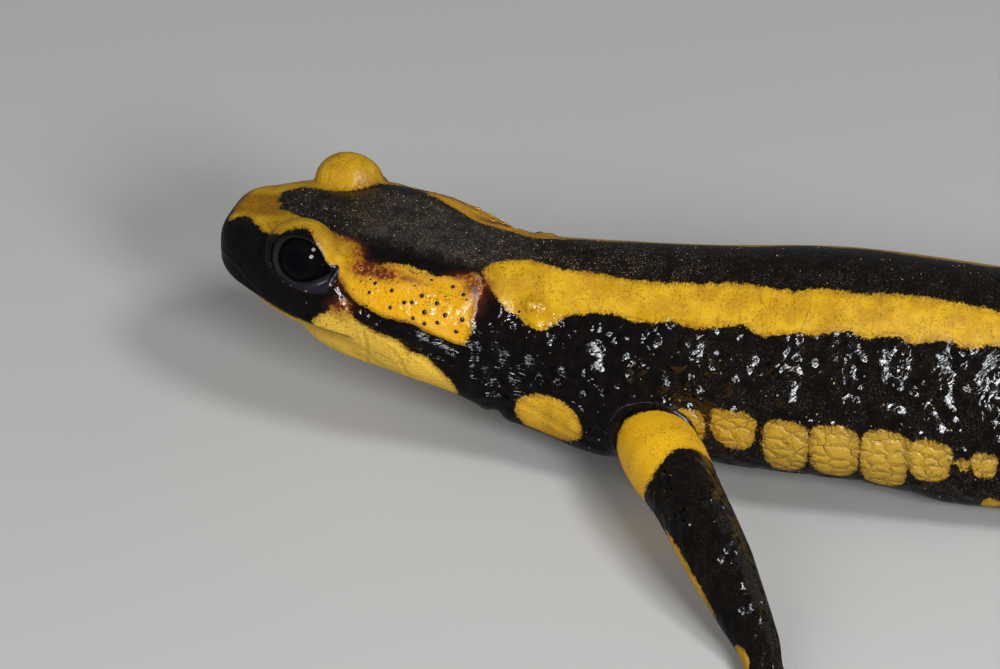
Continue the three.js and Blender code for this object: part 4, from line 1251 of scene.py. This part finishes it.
def stretch(vector, by):
    """A vector times a number, or times a number for each way."""
    if isinstance(by, tuple):
        return put("ShaderNodeVectorMath", {0: vector, 1: by}, operation="MULTIPLY").outputs[0]
    return put("ShaderNodeVectorMath", {0: vector, 3: by}, operation="SCALE").outputs[0]


def ramp(value, low, high, start=0.0, end=1.0):
    inputs = {"Value": value, "From Min": low, "From Max": high, "To Min": start, "To Max": end}
    return put("ShaderNodeMapRange", inputs, interpolation_type="SMOOTHSTEP").outputs[0]


def grain(scale, detail, rough=0.5, at=None, output=0):
    """A soft noise, at the place in hand or at another."""
    inputs = {"Vector": at or place, "Scale": scale, "Detail": detail, "Roughness": rough}
    return put("ShaderNodeTexNoise", inputs).outputs[output]


def patches(scale, detail, rough, low, high, start=0.0, end=1.0):
    """A soft noise, ramped between two levels of it."""
    return ramp(grain(scale, detail, rough), low, high, start, end)


def cells(scale, random, reach):
    """Scattered low domes, 1 in the middle and 0 from their reach on."""
    inputs = {"Vector": place, "Scale": scale, "Randomness": random}
    return ramp(put("ShaderNodeTexVoronoi", inputs).outputs["Distance"], 0.0, reach, 1.0, 0.0)


def cell_edges(at, random):
    """Distance from the edges of flat cells."""
    inputs = {"Vector": at, "Scale": 1.0, "Randomness": random}
    return put("ShaderNodeTexVoronoi", inputs, voronoi_dimensions="2D",
               feature="DISTANCE_TO_EDGE").outputs["Distance"]


def worn(name, output="Fac"):
    """A value laid out on the mesh beforehand."""
    return put("ShaderNodeAttribute", attribute_name=name).outputs[output]


def new_finish(name):
    """Starts a finish. Its tree, its shader and a place in millimetres are now the ones in hand."""
    global tree, shader, place
    finish = bpy.data.materials.new(name)
    finish.use_nodes = True
    tree = finish.node_tree
    shader = tree.nodes["Principled BSDF"]
    place = stretch(put("ShaderNodeTexCoord").outputs["Object"], 1 / MM)
    return finish


skin_finish = new_finish("salamander_skin")
lay = worn("lie", "Vector")
value = {name: worn(name) for name in laid}

# Ragged, grainy border between yellow and black.
ragged = reckon("MULTIPLY_ADD", grain(1.5, 3, 0.6), 0.62, -0.31)
grainy = reckon("MULTIPLY_ADD", grain(7.0, 2, 0.6), 0.56, -0.28)
border = reckon("ADD", value["gold"], reckon("ADD", ragged, grainy))
is_gold = ramp(border, -0.075, 0.085)
near_border = ramp(border, 0.0, 0.55, 1.0, 0.0)

# Yellow.
freckle_inputs = {"Vector": place, "Scale": 0.95, "Randomness": 1.0}
freckle = ramp(put("ShaderNodeTexVoronoi", freckle_inputs).outputs["Distance"], 0.045, 0.085, 1.0, 0.0)
wobble = stretch(grain(1.3, 2.0, output="Color"), 0.62)
pad_place = put("ShaderNodeVectorMath", {0: stretch(lay, (0.66, 1.15, 1)), 1: wobble})
seam_place = put("ShaderNodeVectorMath", {0: stretch(lay, (0.60, 0.11, 1)), 1: stretch(wobble, 0.2)})
pads = cell_edges(pad_place.outputs[0], 0.75)
crack = times(ramp(pads, 0.008, 0.055, 1.0, 0.0), value["padded"])
seam = times(ramp(cell_edges(seam_place.outputs[0], 1.0), 0.004, 0.030, 1.0, 0.0), value["banded"])
yellow = blend(patches(0.55, 5, 0.6, 0.35, 0.65), YELLOW_DEEP, YELLOW)
for cover, colour in (
        (times(value["amber"], 0.9), AMBER),
        # painted light on the limbs' upper parts
        (value["limb_light"], LIMB_LIGHT_YELLOW),
        # paler jaw, partly painted light
        (times(value["pale_and_lit"], 0.75), PALE_AND_LIT),
        (times(value["padded"], 0.7), PAD),
        # ochre brown, partly painted shade on the snout and the right cap
        (times(value["ochre_and_shade"], patches(4.2, 4, 0.7, 0.36, 0.62, 0.62, 1.0)), OCHRE_AND_SHADE),
        (times(patches(6.0, 3, 0.7, 0.53, 0.64), patches(0.5, 2, 0.5, 0.35, 0.7, 0.25, 0.95)), STIPPLE),
        (times(near_border, patches(5.0, 3, 0.7, 0.46, 0.58, 0.15, 0.9)), STIPPLE),
        (times(freckle, 0.8), CRACK),
        (times(crack, patches(1.3, 2, 0.5, 0.35, 0.6, 0.35, 0.9)), CRACK),
        (times(seam, patches(0.9, 3, 0.5, 0.42, 0.62, 0.0, 0.55)), STIPPLE),
        # painted shade in the sunk grooves
        (times(value["groove_shade"], 0.35), STIPPLE),
        (times(value["rust"], 0.7), RUST_ORANGE),
        (times(value["rust"], patches(3.2, 4, 0.7, 0.36, 0.54)), RUST_BROWN),
        # painted shade along the mouth's crease
        (times(value["mouth_shade_line"], 0.92), MOUTH_SHADE)):
    yellow = blend(cover, yellow, colour)

# Black.
powder = blend(patches(5.0, 4, 0.75, 0.44, 0.60), POWDER_GAPS, DUSTY_BLACK)
fine_specks, coarse_specks = patches(13.0, 2, 0.6, 0.575, 0.70, 0.0, 0.7), patches(7.0, 2, 0.6, 0.58, 0.68)
speck = times(reckon("MAXIMUM", coarse_specks, fine_specks), patches(0.7, 3, 0.6, 0.36, 0.62, 0.1, 1.0))
speck_share = reckon("MAXIMUM", value["specked"], times(value["grimy"], 0.45))
black = blend(patches(1.3, 4, 0.6, 0.4, 0.7), BLACK, BLACK_BROWN)
for cover, colour in (
        (times(value["rust"], ramp(border, -0.8, 0.0, 0.0, 0.6)), RUST_BROWN),
        (times(value["dusty"], patches(0.9, 4, 0.65, 0.38, 0.60, 0.15, 1.0)), powder),
        (times(speck, speck_share), DUST),
        (times(value["lower_lid"], 0.7), LID_PURPLE)):
    black = blend(cover, black, colour)

# Gloss: wet black, dusty black, satin yellow and its wet patches.
black_rough = between(value["lower_lid"], patches(1.1, 3, 0.5, 0.35, 0.7, 0.05, 0.13), LID_ROUGHNESS)
black_rough = between(times(value["dusty"], 0.85), black_rough, DUSTY_ROUGHNESS)
yellow_rough = between(value["wet"], patches(1.5, 3, 0.5, 0.3, 0.7, 0.28, 0.46), WET_ROUGHNESS)
roughness = between(is_gold, black_rough, yellow_rough)

# Fine relief: granular warts on the wet sides, cracks between the pads, velvet on the back, fine pores.
wart_share = times(value["warty"], reckon("SUBTRACT", 1.0, is_gold))
wart_share = times(wart_share, patches(0.45, 2, 0.5, 0.38, 0.60, 0.30, 1.0))
slant = put("ShaderNodeMapping", {"Vector": lay, "Rotation": (0, 0, 0.75)}).outputs[0]
sides = times(value["warty"], reckon("MULTIPLY_ADD", is_gold, -0.8, 0.5))
creased = times(value["wrinkled"], reckon("SUBTRACT", 1.0, times(is_gold, 0.55)))
velvet = reckon("ADD", times(value["dusty"], 0.7), 0.25)
normal = None
for relief_height, depth, strength in (  # depth in millimetres
        (cells(0.80, 1.0, 0.62), 0.36, wart_share),
        (grain(1.0, 2, at=stretch(slant, (0.55, 2.6, 1))), 0.11, wart_share),
        (cells(3.0, 0.9, 0.56), 0.018, sides),
        (cells(1.5, 1.0, 0.62), 0.105, value["wet"]),
        (grain(4.6, 2), 0.048, value["wet"]),
        (ramp(pads, 0.0, 0.34), 0.10, value["padded"]),
        (grain(1.3, 2, at=stretch(lay, (0.8, 3.0, 1))), 0.20, creased),
        (grain(3.2, 3), 0.024, 0.9),
        (grain(9.0, 3, 0.7), 0.030, velvet)):
    inputs = {"Height": relief_height, "Distance": depth * MM, "Strength": strength}
    normal = put("ShaderNodeBump", inputs if normal is None else {**inputs, "Normal": normal}).outputs[0]

fill(shader, {"Base Color": blend(value["lid_rim"], blend(is_gold, black, yellow), LID_RIM_BLACK),
              "Roughness": between(value["lid_rim"], roughness, RIM_ROUGHNESS),
              "Specular IOR Level": 0.5, "Normal": normal})
skin_mesh.materials.append(skin_finish)

FLESH = [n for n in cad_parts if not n.startswith("eye_")]
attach(skin_piece, "root")
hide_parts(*FLESH)


# ---------------------------------------------------------------- the glands' pores
# The poison glands open through pores: a low yellow ring of skin round a dark wet mouth, whose dark colour is
# painted shade of the pore's hollow. Rings and mouths are moulded parts set into the skin of both glands, the
# mouths a little lower than the rings.

PORES = [  # station, turn, size
    [15.3, 56, 1.0], [15.0, 62, 0.9], [16.7, 58, 1.0], [16.9, 67, 0.95], [17.8, 64, 1.05], [18.5, 62, 1.0],
    [19.1, 58, 1.1], [20.3, 60, 1.1], [19.5, 67, 1.2], [18.7, 71, 1.0], [21.0, 65, 1.1], [20.5, 70, 1.0],
    [19.6, 73, 1.0], [22.1, 65, 1.15], [21.8, 51, 1.1], [20.9, 48, 1.0], [19.4, 47, 0.8], [21.8, 74, 1.1],
    [22.9, 43, 0.75], [15.0, 68, 0.7], [13.8, 50, 0.7], [22.1, 53, 0.6], [17.0, 54, 0.45],
    [14.9, 54, 0.6], [14.1, 56, 0.45], [20.6, 55, 0.45], [18.3, 53, 0.45], [25.8, 50, 0.8]]
RING = {"radius": 0.205, "thickness": 0.055, "around": 12, "across": 5, "lift": 0.004}
MOUTH = {"radius": 0.185, "flatness": 0.55, "lift": 0.0, "around": 10, "rows": 6}
RING_DEEP, RING_YELLOW, RING_ROUGHNESS = (0.55, 0.25, 0.008), (0.78, 0.42, 0.03), 0.13
# The mouths' dark colour is painted shade of the open pores.
PORE_SHADE_COLOUR, MOUTH_ROUGHNESS = (0.012, 0.007, 0.005, 1), 0.16


def start_growth(name, **inputs):
    """Starts a Geometry Nodes tree with named inputs. It is now the tree in hand."""
    global tree
    tree = bpy.data.node_groups.new(name, "GeometryNodeTree")
    for label, kind in {"Geometry": "Geometry", **inputs}.items():
        tree.interface.new_socket(label, in_out="INPUT", socket_type="NodeSocket" + kind)
    tree.interface.new_socket("Geometry", in_out="OUTPUT", socket_type="NodeSocketGeometry")
    return tree.nodes.new("NodeGroupInput").outputs


def end_growth(instances, finish):
    real = put("GeometryNodeRealizeInstances", {"Geometry": instances}).outputs[0]
    soft = put("GeometryNodeSetShadeSmooth", {"Geometry": real}).outputs[0]
    coated = put("GeometryNodeSetMaterial", {"Geometry": soft, "Material": finish}).outputs[0]
    put("NodeGroupOutput", {"Geometry": coated})
    return tree


def stored(name, data_type="FLOAT"):
    return put("GeometryNodeInputNamedAttribute", {"Name": name}, data_type=data_type).outputs[0]


def grow(name, carrier, grower, sizes, finish):
    """Runs a tree over a carrier mesh and gives the result as a plain piece."""
    piece = put_in_scene(bpy.data.objects.new(name, carrier))
    modifier = piece.modifiers.new("grower", "NODES")
    modifier.node_group = grower
    for socket in grower.interface.items_tree:
        if socket.in_out == "INPUT" and socket.name in sizes:
            modifier[socket.identifier] = sizes[socket.name]
    bpy.context.view_layer.update()
    grown = bpy.data.meshes.new_from_object(piece.evaluated_get(bpy.context.evaluated_depsgraph_get()))
    piece.modifiers.remove(modifier)
    piece.data = grown
    grown.materials.clear()
    grown.materials.append(finish)
    grown.name = name
    return piece


outward = outward_of(points)
pore_numbers = np.array([int(np.argmin(np.hypot(station - s, (turn - sign * a) * GIRTH) + 99 * ~on_body))
                         for s, a, _ in PORES for sign in (1, -1)])
pore_sizes = np.array([size for _, _, size in PORES for _ in (1, -1)])


def pore_points(name, lift):
    facing = outward[pore_numbers]
    layers = {"facing": facing, "size": pore_sizes}
    return make_mesh(name, points[pore_numbers] + facing * lift, [], layers)


def pore_tree(given, shape, finish):
    """One shape on every point, as large as its size and standing on the skin."""
    turned = put("FunctionNodeAlignRotationToVector", {"Vector": stored("facing", "FLOAT_VECTOR")}, axis="Z")
    inputs = {"Points": given["Geometry"], "Instance": shape, "Rotation": turned.outputs[0],
              "Scale": stored("size")}
    return end_growth(put("GeometryNodeInstanceOnPoints", inputs).outputs[0], finish)


ring_finish = new_finish("pore_ring_skin")
fill(shader, {"Base Color": blend(patches(2.0, 3, 0.5, 0.35, 0.65), RING_DEEP, RING_YELLOW),
              "Roughness": RING_ROUGHNESS})
given = start_growth("pore_ring_tree", Radius="Float", Thickness="Float")
circle, profile = (put("GeometryNodeCurvePrimitiveCircle", {"Resolution": RING[count], "Radius": given[size]})
                   for count, size in (("around", "Radius"), ("across", "Thickness")))
ring = put("GeometryNodeCurveToMesh", {"Curve": circle.outputs[0], "Profile Curve": profile.outputs[0]})
pore_rings = grow("pore_rings", pore_points("pore_ring_places", RING["lift"]),
                  pore_tree(given, ring.outputs[0], ring_finish),
                  {"Radius": RING["radius"] * MM, "Thickness": RING["thickness"] * MM}, ring_finish)
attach(pore_rings, "root")

mouth_finish = new_finish("pore_mouth")
fill(shader, {"Base Color": PORE_SHADE_COLOUR, "Roughness": MOUTH_ROUGHNESS})
given = start_growth("pore_mouth_tree", Radius="Float")
ball = put("GeometryNodeMeshUVSphere",
           {"Segments": MOUTH["around"], "Rings": MOUTH["rows"], "Radius": given["Radius"]})
bowl = put("GeometryNodeTransform", {"Geometry": ball.outputs[0], "Scale": (1, 1, MOUTH["flatness"])})
pore_mouths = grow("pore_mouths", pore_points("pore_mouth_places", MOUTH["lift"]),
                   pore_tree(given, bowl.outputs[0], mouth_finish),
                   {"Radius": MOUTH["radius"] * MM}, mouth_finish)
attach(pore_mouths, "root")


# ---------------------------------------------------------------- dust and grit
# Crumbs of dry earth stick to the skin: fine dust over crown and back, coarser brown grit on the flanks.
# Each crumb is a small angular grain pressed half into the skin.

DUST_CRUMBS = {"Density": 5.2e6, "Least": 0.020, "Most": 0.075, "Seed": 7}
FLANK_GRIT = {"Density": 0.62e6, "Least": 0.030, "Most": 0.15, "Seed": 21}
DARK_EARTH, PALE_EARTH, EARTH_ROUGHNESS = (0.030, 0.018, 0.010), (0.46, 0.31, 0.175), 0.75
CLUMP_SCALE = 0.6

crumb_finish = new_finish("dry_earth")
fill(shader, {"Base Color": blend(patches(3.1, 2, 0.5, 0.44, 0.66), DARK_EARTH, PALE_EARTH),
              "Roughness": EARTH_ROUGHNESS})
given = start_growth("crumb_tree", Density="Float", Least="Float", Most="Float", Seed="Int")
density = times(given["Density"], stored("thick"))
strewn = put("GeometryNodeDistributePointsOnFaces",
             {"Mesh": given["Geometry"], "Density": density, "Seed": given["Seed"]})
grain_size, tumbled = (put("FunctionNodeRandomValue", {0: least, 1: most, "Seed": given["Seed"]},
                           data_type="FLOAT_VECTOR").outputs[0]
                       for least, most in ((given["Least"], given["Most"]), ((0, 0, 0), (6.28, 6.28, 6.28))))
crumb = put("GeometryNodeMeshIcoSphere", {"Radius": MM, "Subdivisions": 1})
crumbs = put("GeometryNodeInstanceOnPoints", {"Points": strewn.outputs[0], "Instance": crumb.outputs[0],
                                              "Rotation": tumbled, "Scale": grain_size})
grower = end_growth(crumbs.outputs[0], crumb_finish)


def crumb_carrier(name, thickness):
    """The part of the skin that crumbs are strewn on, with how thickly they lie."""
    corner = np.concatenate([f[(thickness[f] > 0.02).all(1)] for f in skin.faces if f.shape[1] == 4])
    kept, corner = np.unique(corner, return_inverse=True)
    return make_mesh(name, points[kept], [corner.reshape(-1, 4)], {"thick": thickness[kept]})


clumps = np.array([noise.noise(Vector(p) * CLUMP_SCALE) for p in points])
clumps = 0.15 + 0.85 * np.clip(0.45 + 2.4 * clumps, 0, 1)
on_gold = fade_in(gold, -0.1, 0.3)
back_dust = over_back * (0.20 + 0.40 * crown + 0.40 * nape) * clumps * (1 - 0.93 * on_gold) * (1 - lid_rim)
back_dust = back_dust * on_body
flank = fade_in(away, 40, 14) * fade_out(away, 118, 14) * fade_in(station, 24, 14)
muzzle = 0.5 * hill(station - 8, 3.5) * hill(away - 68, 14)
flank_grit = on_body * np.maximum(flank, muzzle) * fade_out(station, 104, 6)
flank_grit = flank_grit * clumps * (1 - 0.9 * on_gold)
for name, thickness, sizes in (("back_dust", back_dust, DUST_CRUMBS), ("flank_grit", flank_grit, FLANK_GRIT)):
    crumbs = grow(name, crumb_carrier(name + "_carrier", thickness), grower, sizes, crumb_finish)
    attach(crumbs, "root")


# ---------------------------------------------------------------- eyes
# Two dark glossy balls, set into the sockets under the lids, each with a faint brown iris round a wide
# black pupil and a low cornea over it.

EYE_RINGS, EYE_SIDES = 30, 48
CORNEA = {"reach": 0.12, "spread": 34}
PUPIL_ANGLE, IRIS_ANGLE = 24, 40
EYE_BLACK = (0.0016, 0.0018, 0.0026)
IRIS_DARK, IRIS_BROWN = (0.0020, 0.0018, 0.0024), (0.0045, 0.0034, 0.0030)
EYE_ROUGHNESS, EYE_SPECULAR = 0.05, 0.16

eye_finish = new_finish("eye_gloss")
ring = worn("from_pupil")
iris_end = ramp(ring, IRIS_ANGLE - 3, IRIS_ANGLE + 4, 1.0, 0.0)
in_iris = times(ramp(ring, PUPIL_ANGLE, PUPIL_ANGLE + 3), iris_end)
fill(shader, {"Base Color": blend(in_iris, EYE_BLACK, blend(grain(6.0, 3), IRIS_DARK, IRIS_BROWN)),
              "Roughness": EYE_ROUGHNESS, "Specular IOR Level": EYE_SPECULAR})
for name, sign in (("eye_left", 1), ("eye_right", -1)):
    axis, ahead, up = eye_frame(sign)
    middle = middle_of(EYE, sign)
    angle = np.arange(1, EYE_RINGS) / EYE_RINGS * math.pi
    reach = EYE["radius"] + CORNEA["reach"] * np.exp(-(np.degrees(angle) / CORNEA["spread"]) ** 2)
    sides = spokes(np.arange(EYE_SIDES) / EYE_SIDES * 2 * math.pi, ahead, up)
    rows = np.array([middle + r * (math.cos(a) * axis + math.sin(a) * sides) for r, a in zip(reach, angle)])
    front = middle + axis * (EYE["radius"] + CORNEA["reach"])
    back = middle - axis * EYE["radius"]
    ball = Surface()
    numbers = ball.add(body_place(*np.concatenate([rows.reshape(-1, 3), [front, back]]).T))
    grid = numbers[:-2].reshape(EYE_RINGS - 1, EYE_SIDES)
    grid = grid if np.dot(np.cross(ahead, up), axis) > 0 else grid[:, ::-1]
    ball.join_rows(grid[::-1])
    ball.close_on(grid[0], numbers[-2])
    ball.close_on(grid[-1][::-1], numbers[-1])
    from_pupil = np.concatenate([np.repeat(np.degrees(angle), EYE_SIDES), [0, 180]])
    mesh = make_mesh("ball_" + name, ball.points, ball.faces, {"from_pupil": from_pupil})
    mesh.materials.append(eye_finish)
    eye_piece = put_in_scene(bpy.data.objects.new("ball_" + name, mesh))
    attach(eye_piece, "root")
    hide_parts(name)
